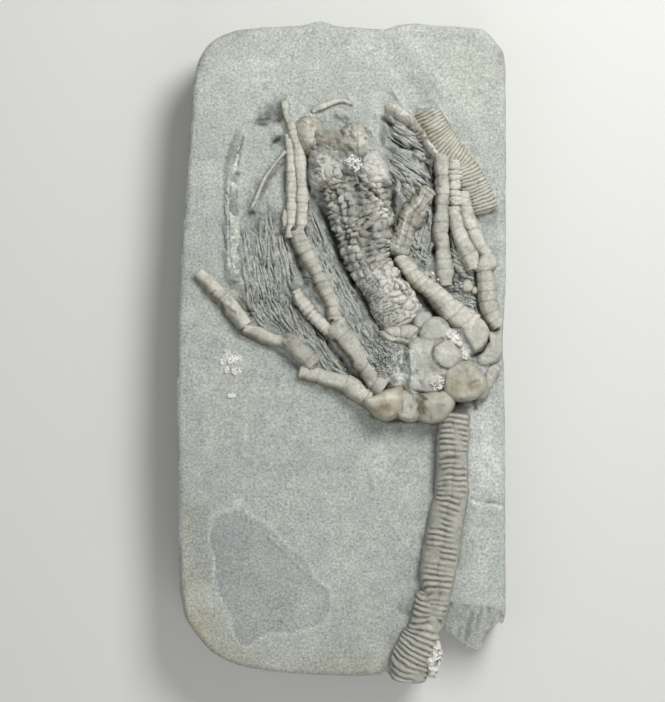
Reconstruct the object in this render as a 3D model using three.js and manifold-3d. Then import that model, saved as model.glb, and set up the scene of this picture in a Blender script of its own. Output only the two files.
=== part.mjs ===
// A sea lily (crinoid) fossil on its slab of siltstone matrix, lying on its back.
// Millimetres, +Z up. The slab's underside is the plane z = 0, the crown points towards +Y,
// and the origin is under the middle of the whole piece. Every part of the animal is a
// separate calcite solid that sits on the prepared face of the slab.
import * as THREE from 'three';
import Module from 'manifold-3d';
import * as BufferGeometryUtils from 'three/addons/utils/BufferGeometryUtils.js';

const wasm = await Module();
wasm.setup();

// ---- driving dimensions -------------------------------------------------------------
const SLAB_THICKNESS = 13;          // underside to the prepared face
const BREAK_TOP = [[19.0, -42.3], [27.8, -44.0]];   // upper edge of the broken corner face
const BREAK_RUN = 8.4;              // how far the broken face leans out over its fall
const BREAK_FALL = 11.6;
const ARM_FACETS = 6;               // flats across the rounded back of an arm or stem
const RINGS_PER_SPAN = 2;           // loft sections between two points of a route
const BACK_ROUNDNESS = 0.8;         // 1 is a half ellipse, less is fuller at the shoulders
const PLATE_SHOULDER = [0.93, 0.55];  // outline scale and share of height, edge of a plate
const PLATE_CROWN = [0.62, 0.9];      // the same for the ring below its highest point

// ---- finishes -----------------------------------------------------------------------
const FINISH = {
  matrix: { color: 0xb4b8b0, roughness: 0.92 },
  fossil: { color: 0xc3c0b0, roughness: 0.8 },
  stained: { color: 0xa89f88, roughness: 0.82 },
  calcite: { color: 0xdedbd0, roughness: 0.5 },
};

// Outline of the slab, anticlockwise from the top left corner. The sides are sawn and
// sanded, the ends are rubbed round, and the lower right corner is broken away.
const SLAB_OUTLINE = [
  [-21.6, 52.8], [-23.5, 50.8], [-24.7, 48.1], [-25.3, 44.3], [-25.8, 37.5], [-26.5, 25.7],
  [-27.2, 17.2], [-27.7, 7.0], [-27.9, -8.2], [-27.7, -25.2], [-27.5, -38.7], [-27.2, -42.1],
  [-26.2, -45.8], [-24.0, -48.9], [-21.4, -51.4], [-17.2, -53.3], [-12.1, -54.3],
  [-7.0, -54.7], [1.4, -55.1], [6.2, -55.0], [7.4, -54.3], [8.6, -55.2], [12.0, -55.4],
  [14.1, -54.2], [15.5, -53.6], [16.2, -52.0], [16.4, -49.6], [17.0, -47.8], [18.7, -48.6],
  [20.3, -49.8], [22.6, -51.2], [23.9, -51.3], [25.2, -48.4], [26.8, -46.4], [27.8, -44.6],
  [27.8, -25.2], [27.7, -8.0], [27.4, 2.0], [27.9, 14.0], [27.9, 42.6], [27.7, 49.9],
  [26.5, 52.1], [24.2, 54.5], [23.1, 54.8], [19.2, 55.2], [15.3, 55.4], [13.3, 55.7],
  [9.9, 55.5], [7.0, 54.8], [1.8, 55.0], [-1.1, 55.3], [-3.6, 56.0], [-7.0, 55.3],
  [-13.5, 55.0], [-18.6, 54.3],
];

// Long parts: [x, y, width, height above the face] along each one, from its base outwards.
const ROUTES = {
  stem_upper: [
    [19.0, -11.6, 5.0, 3.4], [18.8, -15.0, 5.2, 3.4], [18.7, -20.0, 5.2, 3.3],
    [18.5, -24.5, 5.4, 3.2], [17.6, -29.0, 5.8, 3.1], [16.8, -34.0, 5.9, 3.1],
    [16.2, -38.0, 5.6, 3.2], [16.1, -41.0, 3.8, 3.3], [15.9, -44.5, 2.4, 3.2],
  ],
  stem_lower: [
    [13.2, -40.6, 1.2, 2.4], [13.0, -42.8, 1.4, 3.0], [13.0, -44.6, 2.4, 3.4],
    [13.5, -46.4, 5.2, 3.8], [13.3, -48.4, 6.4, 4.1], [12.6, -50.8, 7.2, 4.2],
    [11.9, -53.2, 7.4, 4.2], [11.6, -55.8, 6.0, 3.6],
  ],
  stem_loose: [
    [14.6, 40.4, 3.9, 2.6], [15.7, 38.2, 4.0, 2.8], [17.0, 36.0, 3.9, 2.8],
    [19.1, 33.8, 2.6, 2.8], [21.1, 32.1, 1.7, 2.7], [22.1, 30.2, 2.6, 2.7],
    [23.0, 27.8, 3.2, 2.7], [24.0, 25.4, 3.6, 2.6], [24.6, 23.6, 3.3, 2.3],
  ],
  arm_a_base: [
    [3.6, -7.4, 2.6, 3.1], [2.2, -6.6, 2.6, 2.9], [0.2, -5.5, 2.3, 2.6],
    [-2.0, -4.9, 1.8, 2.3], [-4.5, -4.1, 1.5, 2.0], [-6.6, -3.5, 0.9, 1.6],
  ],
  arm_a_block: [
    [-5.1, -2.1, 1.8, 2.2], [-5.9, -1.3, 2.4, 2.7], [-7.0, -0.2, 2.6, 2.9],
    [-8.2, 1.0, 2.6, 2.8], [-9.4, 1.9, 2.0, 2.2],
  ],
  arm_a_blade: [
    [-10.9, 1.4, 1.1, 1.7], [-12.2, 1.8, 1.6, 1.9], [-14.0, 2.6, 1.8, 2.0],
    [-16.3, 3.4, 1.2, 1.7],
  ],
  arm_a_middle: [[-17.1, 4.7, 2.0, 2.2], [-18.6, 6.7, 2.3, 2.3], [-20.0, 8.4, 2.2, 2.2]],
  arm_a_tip: [[-20.8, 9.3, 2.0, 2.0], [-22.4, 11.0, 1.9, 1.9], [-24.3, 12.8, 1.4, 1.5]],
  arm_b_lower: [
    [7.2, -5.5, 4.1, 4.2], [5.2, -4.1, 3.4, 3.9], [3.2, -1.9, 2.8, 3.5],
    [1.1, 1.2, 2.8, 3.2], [-0.1, 2.8, 2.8, 3.1], [-0.9, 3.9, 3.0, 3.0],
  ],
  arm_b_spur: [
    [-3.2, 4.5, 1.7, 2.6], [-4.6, 5.9, 1.9, 2.6], [-5.9, 7.4, 2.0, 2.5],
    [-6.9, 8.8, 1.9, 2.4], [-7.7, 10.3, 1.6, 2.2],
  ],
  arm_b_middle: [
    [-1.2, 5.4, 2.2, 3.0], [-1.7, 8.0, 1.8, 2.9], [-3.2, 11.0, 1.9, 2.8],
    [-4.6, 14.0, 2.0, 2.7], [-6.3, 17.0, 2.2, 2.6], [-7.3, 19.6, 2.6, 2.5],
  ],
  arm_b_left: [
    [-8.5, 20.8, 1.2, 2.2], [-8.4, 24.0, 1.3, 2.1], [-8.4, 28.0, 1.3, 2.0],
    [-8.5, 31.5, 1.2, 1.9], [-8.8, 34.2, 1.0, 1.7], [-9.3, 36.6, 0.6, 1.3],
  ],
  arm_b_right: [
    [-6.7, 20.9, 1.5, 2.4], [-6.6, 24.0, 1.6, 2.3], [-6.7, 28.0, 1.5, 2.2],
    [-7.0, 32.0, 1.4, 2.1], [-7.5, 35.0, 1.1, 1.9], [-8.3, 37.5, 1.0, 1.7],
    [-9.4, 40.0, 1.0, 1.4], [-9.6, 42.0, 0.9, 0.9],
  ],
  arm_c_lower: [
    [20.0, 5.3, 3.1, 4.1], [18.6, 6.4, 3.1, 3.9], [16.9, 8.2, 2.8, 3.6],
    [15.2, 10.0, 2.5, 3.3], [12.9, 11.9, 2.3, 3.1], [11.1, 13.8, 2.1, 2.9],
    [9.8, 15.5, 1.8, 2.6],
  ],
  arm_c_upper: [
    [9.6, 17.4, 2.1, 2.8], [10.4, 19.6, 2.3, 2.8], [11.4, 22.0, 2.8, 2.6],
    [12.6, 24.5, 2.8, 2.4], [14.3, 27.2, 2.2, 2.0],
  ],
  arm_d_lower: [
    [17.6, 11.4, 1.6, 2.2], [17.5, 13.0, 2.4, 2.6], [17.3, 15.5, 2.2, 2.7],
    [17.0, 18.0, 2.0, 2.7], [16.8, 21.0, 2.1, 2.7], [16.9, 24.0, 2.0, 2.6],
    [17.2, 26.6, 1.8, 2.6],
  ],
  arm_d_upper: [[17.3, 27.2, 1.8, 2.7], [17.1, 30.0, 1.8, 2.8], [17.0, 32.6, 1.6, 2.6]],
  arm_d_tip: [
    [15.4, 33.3, 0.9, 2.4], [14.3, 34.9, 1.1, 2.5], [13.3, 36.7, 1.2, 2.6],
    [12.1, 38.3, 1.2, 2.6], [10.7, 39.7, 1.1, 2.4], [9.3, 40.8, 1.0, 2.0],
    [8.3, 41.7, 0.8, 1.4],
  ],
  arm_e_trunk: [
    [25.9, 5.2, 1.5, 2.6], [25.1, 6.6, 2.5, 2.8], [24.7, 8.5, 2.7, 2.9],
    [24.5, 10.5, 2.7, 3.0], [24.3, 12.2, 2.7, 3.0], [24.1, 13.4, 2.6, 3.0],
  ],
  arm_e_left: [
    [22.1, 14.5, 1.3, 2.8], [21.8, 15.9, 2.3, 3.0], [21.0, 17.4, 2.2, 2.9],
    [20.1, 19.3, 2.0, 2.8], [19.35, 21.4, 1.8, 2.7], [19.0, 23.7, 1.4, 2.5],
  ],
  arm_e_right: [
    [23.8, 17.4, 1.4, 2.9], [22.9, 18.7, 2.0, 2.9], [22.1, 20.4, 2.1, 2.8],
    [21.4, 22.5, 1.9, 2.7], [20.9, 24.6, 1.6, 2.5], [20.7, 26.5, 1.2, 2.2],
  ],
  arm_f_buried: [
    [-18.0, 12.2, 1.3, 0.6], [-18.4, 15.0, 1.6, 0.7], [-18.4, 19.0, 1.7, 0.8],
    [-18.6, 24.0, 1.7, 0.8], [-18.5, 28.0, 1.6, 0.8], [-18.1, 32.0, 1.5, 0.7],
    [-17.3, 36.0, 1.1, 0.5],
  ],
  ossicle_row: [[18.9, 25.2, 1.2, 1.8], [18.9, 28.4, 1.3, 2.0], [18.9, 32.0, 1.3, 2.1]],
  thin_rod: [
    [-9.9, 33.3, 0.7, 1.3], [-11.6, 31.3, 0.7, 1.3], [-13.2, 28.8, 0.6, 1.2],
    [-14.3, 26.3, 0.5, 1.0], [-15.3, 24.2, 0.5, 0.8],
  ],
  curved_rod: [
    [-4.6, 40.7, 0.7, 1.0], [-3.0, 41.5, 0.8, 1.2], [-1.5, 42.1, 0.8, 1.2],
    [0.2, 42.4, 0.7, 1.1], [1.1, 42.2, 0.5, 0.8],
  ],
  anal_sac: [
    [10.1, 5.2, 7.4, 4.6], [8.8, 8.0, 7.4, 4.8], [7.1, 11.0, 6.5, 4.7],
    [5.1, 14.0, 6.1, 4.7], [4.1, 17.0, 7.2, 4.8], [3.9, 20.0, 8.6, 5.0],
    [3.2, 23.0, 9.6, 4.8], [2.5, 25.8, 9.8, 4.2],
  ],
  cup_rim_right: [
    [26.5, -1.9, 0.7, 2.4], [25.5, -3.2, 1.2, 2.8], [24.6, -4.8, 1.0, 3.0],
    [23.8, -6.4, 0.7, 2.6],
  ],
};

// Plates: height above the face, the outline, and its middle where that isn't the mean.
const PLATES = {
  cup_plate_left: { height: 4.6, finish: 'stained', outline: [
    [4.4, -8.1], [5.6, -7.8], [6.9, -7.6], [7.9, -6.9], [8.9, -6.4], [9.7, -6.4],
    [9.9, -7.3], [9.8, -8.8], [9.2, -10.0], [8.4, -10.7], [7.2, -10.8], [6.2, -10.4],
    [5.1, -9.5], [4.4, -8.7]] },
  cup_plate_small: { height: 3.6, outline: [
    [10.3, -7.4], [11.6, -7.5], [11.9, -8.8], [12.0, -9.9], [12.4, -10.6], [11.6, -10.9],
    [10.6, -10.7], [10.0, -10.2], [10.2, -9.0]] },
  cup_plate_lower: { height: 4.4, finish: 'stained', outline: [
    [12.5, -7.6], [13.3, -7.3], [14.5, -7.7], [15.6, -7.4], [16.9, -7.2], [17.9, -7.9],
    [18.0, -8.9], [17.3, -9.9], [16.2, -10.8], [14.9, -11.0], [13.7, -10.6],
    [12.8, -9.9], [12.4, -8.9]] },
  cup_plate_middle: { height: 4.8, middle: [13.1, -2.4], outline: [
    [11.2, 1.2], [12.2, 1.7], [13.4, 1.5], [14.6, 1.1], [14.9, 0.1], [14.9, -0.9],
    [15.3, -2.0], [16.0, -2.9], [15.7, -3.8], [14.6, -4.4], [14.4, -5.6], [13.6, -6.2],
    [12.0, -6.4], [11.2, -5.9], [11.6, -4.8], [11.8, -3.6], [11.8, -2.3], [11.2, -1.0],
    [10.9, 0.2]] },
  cup_plate_top: { height: 4.2, outline: [
    [13.9, 3.6], [14.6, 4.5], [15.9, 4.6], [17.0, 3.9], [17.1, 2.9], [16.9, 2.3],
    [15.9, 2.1], [14.9, 1.8], [13.9, 2.2]] },
  cup_plate_round: { height: 5.0, outline: [
    [15.4, 0.8], [16.3, 1.5], [17.2, 1.7], [18.2, 1.2], [19.1, 0.3], [19.5, -0.5],
    [19.3, -1.6], [18.6, -2.4], [17.7, -2.8], [16.7, -2.5], [15.8, -1.7], [15.3, -0.5]] },
  cup_plate_right: { height: 4.6, finish: 'stained', outline: [
    [18.3, -3.1], [19.3, -2.7], [20.6, -2.5], [21.8, -2.7], [22.2, -3.6], [23.3, -4.6],
    [23.5, -5.6], [23.0, -6.5], [22.0, -7.1], [20.8, -7.3], [19.6, -7.2], [18.4, -7.0],
    [17.7, -6.2], [17.4, -5.0], [17.6, -3.8]] },
  cup_plate_far_right: { height: 3.8, middle: [25.6, 0.3], outline: [
    [24.9, 3.0], [25.8, 2.9], [26.7, 3.2], [26.9, 2.0], [26.9, 0.6], [26.7, -0.5],
    [26.2, -1.2], [25.2, -1.7], [24.0, -2.0], [22.9, -1.8], [22.9, -0.9], [23.8, -0.3],
    [24.6, 0.5], [25.0, 1.4], [24.8, 2.2]] },
  calcite_patch: { height: 3.4, finish: 'calcite', outline: [
    [17.6, 3.0], [18.3, 3.6], [19.1, 2.9], [19.8, 2.2], [20.2, 1.5], [19.8, 1.1],
    [19.2, 1.3], [18.4, 1.9], [17.7, 2.4]] },
  arm_c_base: { height: 4.2, outline: [
    [20.7, 3.4], [21.6, 4.1], [22.9, 4.4], [24.4, 3.9], [24.2, 2.8], [23.3, 1.0],
    [22.5, 0.2], [21.6, 0.4], [20.9, 1.8], [20.4, 2.8]] },
  arm_e_axillary: { height: 3.0, outline: [
    [23.0, 14.1], [25.2, 14.2], [25.4, 15.2], [24.9, 16.2], [24.2, 16.3], [23.8, 15.4]] },
  sac_base_left: { height: 3.8, outline: [
    [7.0, 3.1], [8.0, 3.4], [9.7, 3.6], [9.8, 2.7], [9.5, 2.1], [8.4, 2.1], [7.5, 2.5]] },
  sac_base_right: { height: 3.9, outline: [
    [10.3, 3.6], [11.3, 3.8], [12.5, 3.9], [12.6, 3.3], [12.0, 2.3], [11.0, 1.8],
    [10.2, 2.1]] },
  sac_side_plate: { height: 4.0, outline: [
    [12.7, 5.4], [13.6, 6.0], [14.5, 6.0], [14.5, 5.0], [13.8, 4.4], [12.7, 4.5]] },
  sac_lobe_left: { height: 4.6, outline: [
    [-5.0, 33.4], [-3.9, 33.8], [-2.8, 33.5], [-1.6, 32.4], [-0.6, 31.3], [0.2, 30.2],
    [0.4, 29.0], [-0.2, 28.1], [-1.8, 27.8], [-3.6, 27.9], [-4.7, 28.6], [-5.0, 30.5]] },
  sac_lobe_right: { height: 4.2, outline: [
    [4.3, 33.3], [5.8, 33.4], [6.6, 32.0], [7.2, 30.5], [7.9, 29.0], [7.8, 28.4],
    [6.6, 28.4], [5.2, 28.7], [4.0, 29.4], [3.3, 30.5], [3.6, 32.0]] },
  sac_lump_yellow: { height: 3.0, outline: [
    [-6.2, 38.5], [-4.7, 38.3], [-4.2, 37.3], [-4.3, 36.0], [-4.7, 34.9], [-5.6, 34.5],
    [-6.2, 35.2], [-6.7, 36.5], [-6.9, 37.6]] },
  sac_lump_left: { height: 2.6, outline: [
    [-3.8, 36.2], [-2.6, 36.3], [-1.5, 36.3], [-0.4, 36.0], [0.0, 35.1], [-0.5, 34.3],
    [-1.8, 34.2], [-3.1, 34.4], [-3.9, 35.2]] },
  sac_lump_right: { height: 2.8, outline: [
    [0.6, 37.1], [2.0, 37.9], [3.8, 37.2], [4.5, 36.0], [4.3, 34.5], [3.0, 33.9],
    [1.2, 34.1], [0.5, 35.4]] },
};

// ---- building -----------------------------------------------------------------------

// A closed body from stacked loops of equal length, each end shut by a fan of triangles.
function loftBody(loops, startPoint, endPoint) {
  const sides = loops[0].length;
  const points = [startPoint, ...loops.flat(), endPoint];
  const last = points.length - 1;
  const at = (loop, side) => 1 + loop * sides + (side % sides);
  const index = [];
  for (let side = 0; side < sides; side += 1) {
    index.push(0, at(0, side + 1), at(0, side));
    index.push(last, at(loops.length - 1, side), at(loops.length - 1, side + 1));
    for (let loop = 0; loop + 1 < loops.length; loop += 1) {
      index.push(at(loop, side), at(loop, side + 1), at(loop + 1, side + 1));
      index.push(at(loop, side), at(loop + 1, side + 1), at(loop + 1, side));
    }
  }
  const geometry = new THREE.BufferGeometry().setFromPoints(points);
  geometry.setIndex(signedVolume(points, index) < 0 ? index.reverse() : index);
  geometry.computeVertexNormals();
  return geometry;
}

function signedVolume(points, index) {
  let volume = 0;
  for (let i = 0; i < index.length; i += 3) {
    const [a, b, c] = [points[index[i]], points[index[i + 1]], points[index[i + 2]]];
    volume += a.dot(b.clone().cross(c)) / 6;
  }
  return volume;
}

// An arm or a length of stem: flat underneath, round backed, along its route.
function longPart(route) {
  const path = new THREE.CatmullRomCurve3(
    route.map(([x, y]) => new THREE.Vector3(x, y, SLAB_THICKNESS)), false, 'centripetal');
  const sizes = new THREE.CatmullRomCurve3(
    route.map(([, , width, height]) => new THREE.Vector3(width, height, 0)), false, 'catmullrom', 0);
  const loops = [];
  const spans = (route.length - 1) * RINGS_PER_SPAN;
  for (let ring = 0; ring <= spans; ring += 1) {
    const share = ring / spans;
    const middle = path.getPoint(share);
    const along = path.getTangent(share);
    const across = new THREE.Vector3(along.y, -along.x, 0).normalize();
    const { x: width, y: height } = sizes.getPoint(share);
    const loop = [];
    for (let side = 0; side <= ARM_FACETS; side += 1) {
      const angle = Math.PI * (1 - side / ARM_FACETS);
      const rise = side % ARM_FACETS ? height * Math.sin(angle) ** BACK_ROUNDNESS : 0;
      loop.push(middle.clone().addScaledVector(across, Math.cos(angle) * width / 2)
        .add(new THREE.Vector3(0, 0, rise)));
    }
    loops.push(loop);
  }
  const capMiddle = (share, loop) => path.getPoint(share)
    .add(new THREE.Vector3(0, 0, (loop[ARM_FACETS / 2].z - SLAB_THICKNESS) / 2));
  return loftBody(loops, capMiddle(0, loops[0]), capMiddle(1, loops[loops.length - 1]));
}

// A plate of the cup or sac: its outline on the face, swelling to a low crown.
function plate({ height, outline, middle }) {
  const mean = (axis) => outline.reduce((sum, point) => sum + point[axis], 0) / outline.length;
  const [middleX, middleY] = middle ?? [mean(0), mean(1)];
  const loopAt = ([scale, share]) => outline.map(([x, y]) => new THREE.Vector3(
    middleX + (x - middleX) * scale, middleY + (y - middleY) * scale,
    SLAB_THICKNESS + height * share));
  const loops = [[1, 0], PLATE_SHOULDER, PLATE_CROWN].map(loopAt);
  return loftBody(loops, new THREE.Vector3(middleX, middleY, SLAB_THICKNESS),
    new THREE.Vector3(middleX, middleY, SLAB_THICKNESS + height));
}

function toSolid(geometry) {
  const bare = geometry.clone();
  bare.deleteAttribute('normal');
  bare.deleteAttribute('uv');
  const merged = BufferGeometryUtils.mergeVertices(bare);
  return new wasm.Manifold(new wasm.Mesh({
    numProp: 3,
    vertProperties: new Float32Array(merged.attributes.position.array),
    triVerts: new Uint32Array(merged.index.array),
  }));
}

function toGeometry(solid) {
  const mesh = solid.getMesh();
  const geometry = new THREE.BufferGeometry();
  geometry.setAttribute('position', new THREE.BufferAttribute(mesh.vertProperties, 3));
  geometry.setIndex(new THREE.BufferAttribute(mesh.triVerts, 1));
  geometry.computeVertexNormals();
  return geometry;
}

function extrudeOutline(points, depth) {
  const shape = new THREE.Shape(points.map(([x, y]) => new THREE.Vector2(x, y)));
  return new THREE.ExtrudeGeometry(shape, { depth, bevelEnabled: false });
}

// The slab: the sawn outline, less the wedge that broke off its lower right corner.
function slab() {
  const block = toSolid(extrudeOutline(SLAB_OUTLINE, SLAB_THICKNESS));
  const [start, end] = BREAK_TOP.map(([x, y]) => new THREE.Vector2(x, y));
  const along = end.clone().sub(start).normalize();
  const outwards = new THREE.Vector2(along.y, -along.x);
  const reach = 12;
  const corner = (side, away, z) => {
    const foot = start.clone().addScaledVector(along, side).addScaledVector(outwards, away);
    return new THREE.Vector3(foot.x, foot.y, z);
  };
  const slope = BREAK_RUN / BREAK_FALL;
  const above = SLAB_THICKNESS + 1;
  const below = SLAB_THICKNESS - BREAK_FALL;
  const loops = [-3, start.distanceTo(end) + 3].map((side) => [
    corner(side, -slope, above), corner(side, reach, above),
    corner(side, reach, below), corner(side, BREAK_RUN, below),
  ]);
  const endMiddle = (loop) => loop.reduce(
    (sum, point) => sum.addScaledVector(point, 1 / loop.length), new THREE.Vector3());
  const wedge = toSolid(loftBody(loops, endMiddle(loops[0]), endMiddle(loops[1])));
  return toGeometry(block.subtract(wedge));
}

function addPart(group, name, geometry, finish) {
  const mesh = new THREE.Mesh(geometry, new THREE.MeshStandardMaterial({ ...FINISH[finish], metalness: 0 }));
  mesh.name = name;
  group.add(mesh);
}

const fossil = new THREE.Group();
addPart(fossil, 'matrix_slab', slab(), 'matrix');
for (const [name, route] of Object.entries(ROUTES)) {
  addPart(fossil, name, longPart(route), 'fossil');
}
for (const [name, shape] of Object.entries(PLATES)) {
  addPart(fossil, name, plate(shape), shape.finish ?? 'fossil');
}

// The origin goes under the middle of the box that holds everything.
const middle = new THREE.Box3().setFromObject(fossil).getCenter(new THREE.Vector3());
fossil.position.set(-middle.x, -middle.y, 0);

export default fossil;
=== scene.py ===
import math

import bpy
import numpy as np
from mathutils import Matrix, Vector
from mathutils.geometry import delaunay_2d_cdt


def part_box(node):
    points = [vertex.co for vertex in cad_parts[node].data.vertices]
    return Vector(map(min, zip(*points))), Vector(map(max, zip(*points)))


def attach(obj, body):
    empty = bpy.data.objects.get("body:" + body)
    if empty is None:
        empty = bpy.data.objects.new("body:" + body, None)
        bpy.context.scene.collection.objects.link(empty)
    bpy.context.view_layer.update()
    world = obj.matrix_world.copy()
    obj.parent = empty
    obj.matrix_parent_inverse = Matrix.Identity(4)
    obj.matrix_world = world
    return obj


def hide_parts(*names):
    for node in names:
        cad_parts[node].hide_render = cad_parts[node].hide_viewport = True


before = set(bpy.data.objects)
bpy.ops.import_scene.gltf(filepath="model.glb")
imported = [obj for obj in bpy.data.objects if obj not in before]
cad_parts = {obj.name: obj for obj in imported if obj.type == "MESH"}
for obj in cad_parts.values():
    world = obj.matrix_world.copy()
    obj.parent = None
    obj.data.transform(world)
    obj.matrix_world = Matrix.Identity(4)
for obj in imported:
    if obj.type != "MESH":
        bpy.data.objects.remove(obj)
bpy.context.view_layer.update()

MM = 0.001
slab_low, slab_high = (np.array(corner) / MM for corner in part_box("matrix_slab"))
FACE = slab_high[2]                # height of the prepared face above the underside
SINK = 1.5                         # how far a fossil goes on below the face, inside the slab
SLAB_SIDE, SIDE_SOFT = 27.15, 0.6  # how far to the right a fossil may reach, and how softly it stops there
CUP_MIDDLE = np.array([15.0, -4.0])
FAR = 1e9                          # farther than anything here
FINE, PLATE_FINE = 0.13, 0.15      # spacing of the mesh on the long fossils and on the plates
SLAB_GRID, CROWN_GRID = 0.42, 0.2  # spacing of the mesh on the open face, and between the fossils


# ---- repeatable noise ----------------------------------------------------------------------
# Each kind of noise takes points, the size of its lumps in millimetres and, last, a seed of its own.
def lattice(cell, seed):
    """A repeatable number from 0 to 1 for each whole-number cell."""
    c = cell.astype(np.int64).astype(np.uint64)
    h = (c[..., 0] * np.uint64(374761393) + c[..., 1] * np.uint64(668265263)
         + c[..., 2] * np.uint64(2246822519) + np.uint64(seed * 3266489917 % 2**32))
    h &= np.uint64(0xFFFFFFFF)
    h = ((h ^ (h >> np.uint64(13))) * np.uint64(1274126177)) & np.uint64(0xFFFFFFFF)
    h = ((h ^ (h >> np.uint64(16))) * np.uint64(2654435761)) & np.uint64(0xFFFFFFFF)
    return (h >> np.uint64(8)).astype(float) / 2**24


def in_space(points):
    """Points of the plane or a line as points of space."""
    points = np.asarray(points, float)
    if points.shape[-1] == 3:
        return points
    return np.concatenate([points, np.zeros(points.shape[:-1] + (3 - points.shape[-1],))], -1)


def noise(points, size, seed=0):
    """Smooth noise from -1 to 1 whose lumps are about `size` millimetres across."""
    p = in_space(points) / size
    base = np.floor(p)
    f = p - base
    f = f * f * f * (f * (f * 6 - 15) + 10)
    total = 0.0
    for corner in np.ndindex(2, 2, 2):
        corner = np.array(corner)
        total = total + np.prod(np.where(corner == 1, f, 1 - f), -1) * lattice(base + corner, seed)
    return total * 2 - 1


def fractal(points, size, octaves=3, seed=0):
    """Noise with finer and finer noise added to it, each half as wide and half as strong as the last."""
    return sum(noise(points, size / 2**k, seed + k) / 2**k for k in range(octaves)) / (2 - 2.0**(1 - octaves))


def packed_cells(points, size, seed=0, jitter=0.8):
    """Packed plates or grains: how far the nearest middle and the second one are, in cells, and a number for
    the nearest."""
    p = in_space(points) / np.array([*size, 1.0])
    p[..., 2] = 0
    base = np.floor(p)
    nearest = np.full(p.shape[:-1], FAR)
    second, own = nearest.copy(), np.zeros(p.shape[:-1])
    for dx in (-1, 0, 1):
        for dy in (-1, 0, 1):
            cell = base + np.array([dx, dy, 0])
            x = cell[..., 0] + 0.5 + (lattice(cell, seed) - 0.5) * jitter
            y = cell[..., 1] + 0.5 + (lattice(cell, seed + 1) - 0.5) * jitter
            away = np.hypot(x - p[..., 0], y - p[..., 1])
            closer = away < nearest
            second = np.where(closer, nearest, np.minimum(second, away))
            own = np.where(closer, lattice(cell, seed + 2), own)
            nearest = np.where(closer, away, nearest)
    return nearest, second, own


def ease(x, low=0.0, high=1.0):
    """0 up to low, 1 from high on, and a smooth turn between them."""
    t = np.clip((x - low) / (high - low), 0, 1)
    return t * t * (3 - 2 * t)


def line_mark(distance, width):
    """1 on a line, fading out over about `width` millimetres to either side."""
    return np.exp(-(distance / width) ** 2)


# ---- plane geometry ------------------------------------------------------------------------
CURVE_STEPS = 16                   # points of a smooth curve for each given one, before it is evened out


def distance_to(xy, path, closed=False):
    """How far each point is from a chain of straight runs."""
    path = np.array(path, float)
    if len(path) == 1:
        return np.hypot(*(xy - path[0]).T)
    starts, ends = (path, np.roll(path, -1, 0)) if closed else (path[:-1], path[1:])
    best = np.full(len(xy), FAR)
    for a, b in zip(starts, ends):
        run = b - a
        share = np.clip((xy - a) @ run / max(run @ run, 1e-12), 0, 1)
        best = np.minimum(best, np.hypot(*(xy - a - share[:, None] * run).T))
    return best


def is_inside(xy, outline):
    """Which points lie inside an outline: those with an odd number of its sides to their right."""
    outline = np.array(outline, float)
    odd = np.zeros(len(xy), bool)
    for (ax, ay), (bx, by) in zip(outline, np.roll(outline, -1, 0)):
        if ay == by:
            continue
        crosses = (xy[:, 1] < ay) != (xy[:, 1] < by)
        odd ^= crosses & (xy[:, 0] < (bx - ax) * (xy[:, 1] - ay) / (by - ay) + ax)
    return odd


def add_marks(marks, xy, height, paint, rough, fleck):
    """Adds marks to the height and the paint of points. A mark has a path, half a width, a rise and what it
    adds to the paint; a bare number there is dark paint for dirt and for painted shade. rough and fleck give
    how its width and its paint vary from spot to spot."""
    for path, half, rise, amounts in marks:
        low, high = np.min(path, 0) - 3 * half, np.max(path, 0) + 3 * half
        near = np.all((xy > low) & (xy < high), 1)
        if not near.any():
            continue
        spot = xy[near]
        share = line_mark(distance_to(spot, path), half * (1 + rough(spot)))
        height[near] += rise * share
        for name, amount in (amounts if isinstance(amounts, dict) else dict(dirt_and_shade=amounts)).items():
            paint[name][near] += amount * share * (0.85 + fleck(spot))


def soft_inside(xy, outline, edge):
    """1 inside an outline, 0 outside it, turning over `edge` millimetres to either side of it."""
    away = distance_to(xy, outline, closed=True)
    return ease(np.where(is_inside(xy, outline), away, -away), -edge, edge)


def smooth_path(points, step, closed=False):
    """A smooth curve through points, as evenly spaced points about `step` apart."""
    points = np.array(points, float)
    around = (np.roll(points, 1, 0), points, np.roll(points, -1, 0), np.roll(points, -2, 0))
    if not closed:
        far = np.vstack([2 * points[0] - points[1], points, 2 * points[-1] - points[-2]])
        around = (far[:-3], far[1:-2], far[2:-1], far[3:])
    a, b, c, d = (x[:, None, :] for x in around)
    t = np.linspace(0, 1, CURVE_STEPS, endpoint=False)[None, :, None]
    dense = 0.5 * (2 * b + (c - a) * t + (2 * a - 5 * b + 4 * c - d) * t**2 + (3 * b - a - 3 * c + d) * t**3)
    dense = dense.reshape(-1, points.shape[1])
    dense = np.vstack([dense, dense[:1] if closed else points[-1:]])
    reach = np.concatenate([[0], np.cumsum(np.hypot(*np.diff(dense[:, :2], axis=0).T))])
    count = max(3, int(round(reach[-1] / step)) + 1)
    wanted = np.linspace(0, reach[-1], count)
    path = np.stack([np.interp(wanted, reach, column) for column in dense.T], 1)
    return path[:-1] if closed else path


# ---- reading the CAD solids ----------------------------------------------------------------
def merged_solid(node):
    """A CAD node's corners in millimetres, doubles merged, its triangles, and each corner's neighbours."""
    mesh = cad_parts[node].data
    corners = np.array([v.co[:] for v in mesh.vertices]) / MM
    points, index = np.unique(np.round(corners, 3), axis=0, return_inverse=True)
    index = index.reshape(-1)
    triangles = index[np.array([p.vertices[:] for p in mesh.polygons])]
    near = [set() for _ in points]
    for a, b, c in triangles:
        near[a] |= {b, c}
        near[b] |= {a, c}
        near[c] |= {a, b}
    return points, triangles, near


CAD_SIDES = 7      # corners of each section of a long CAD part


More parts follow.
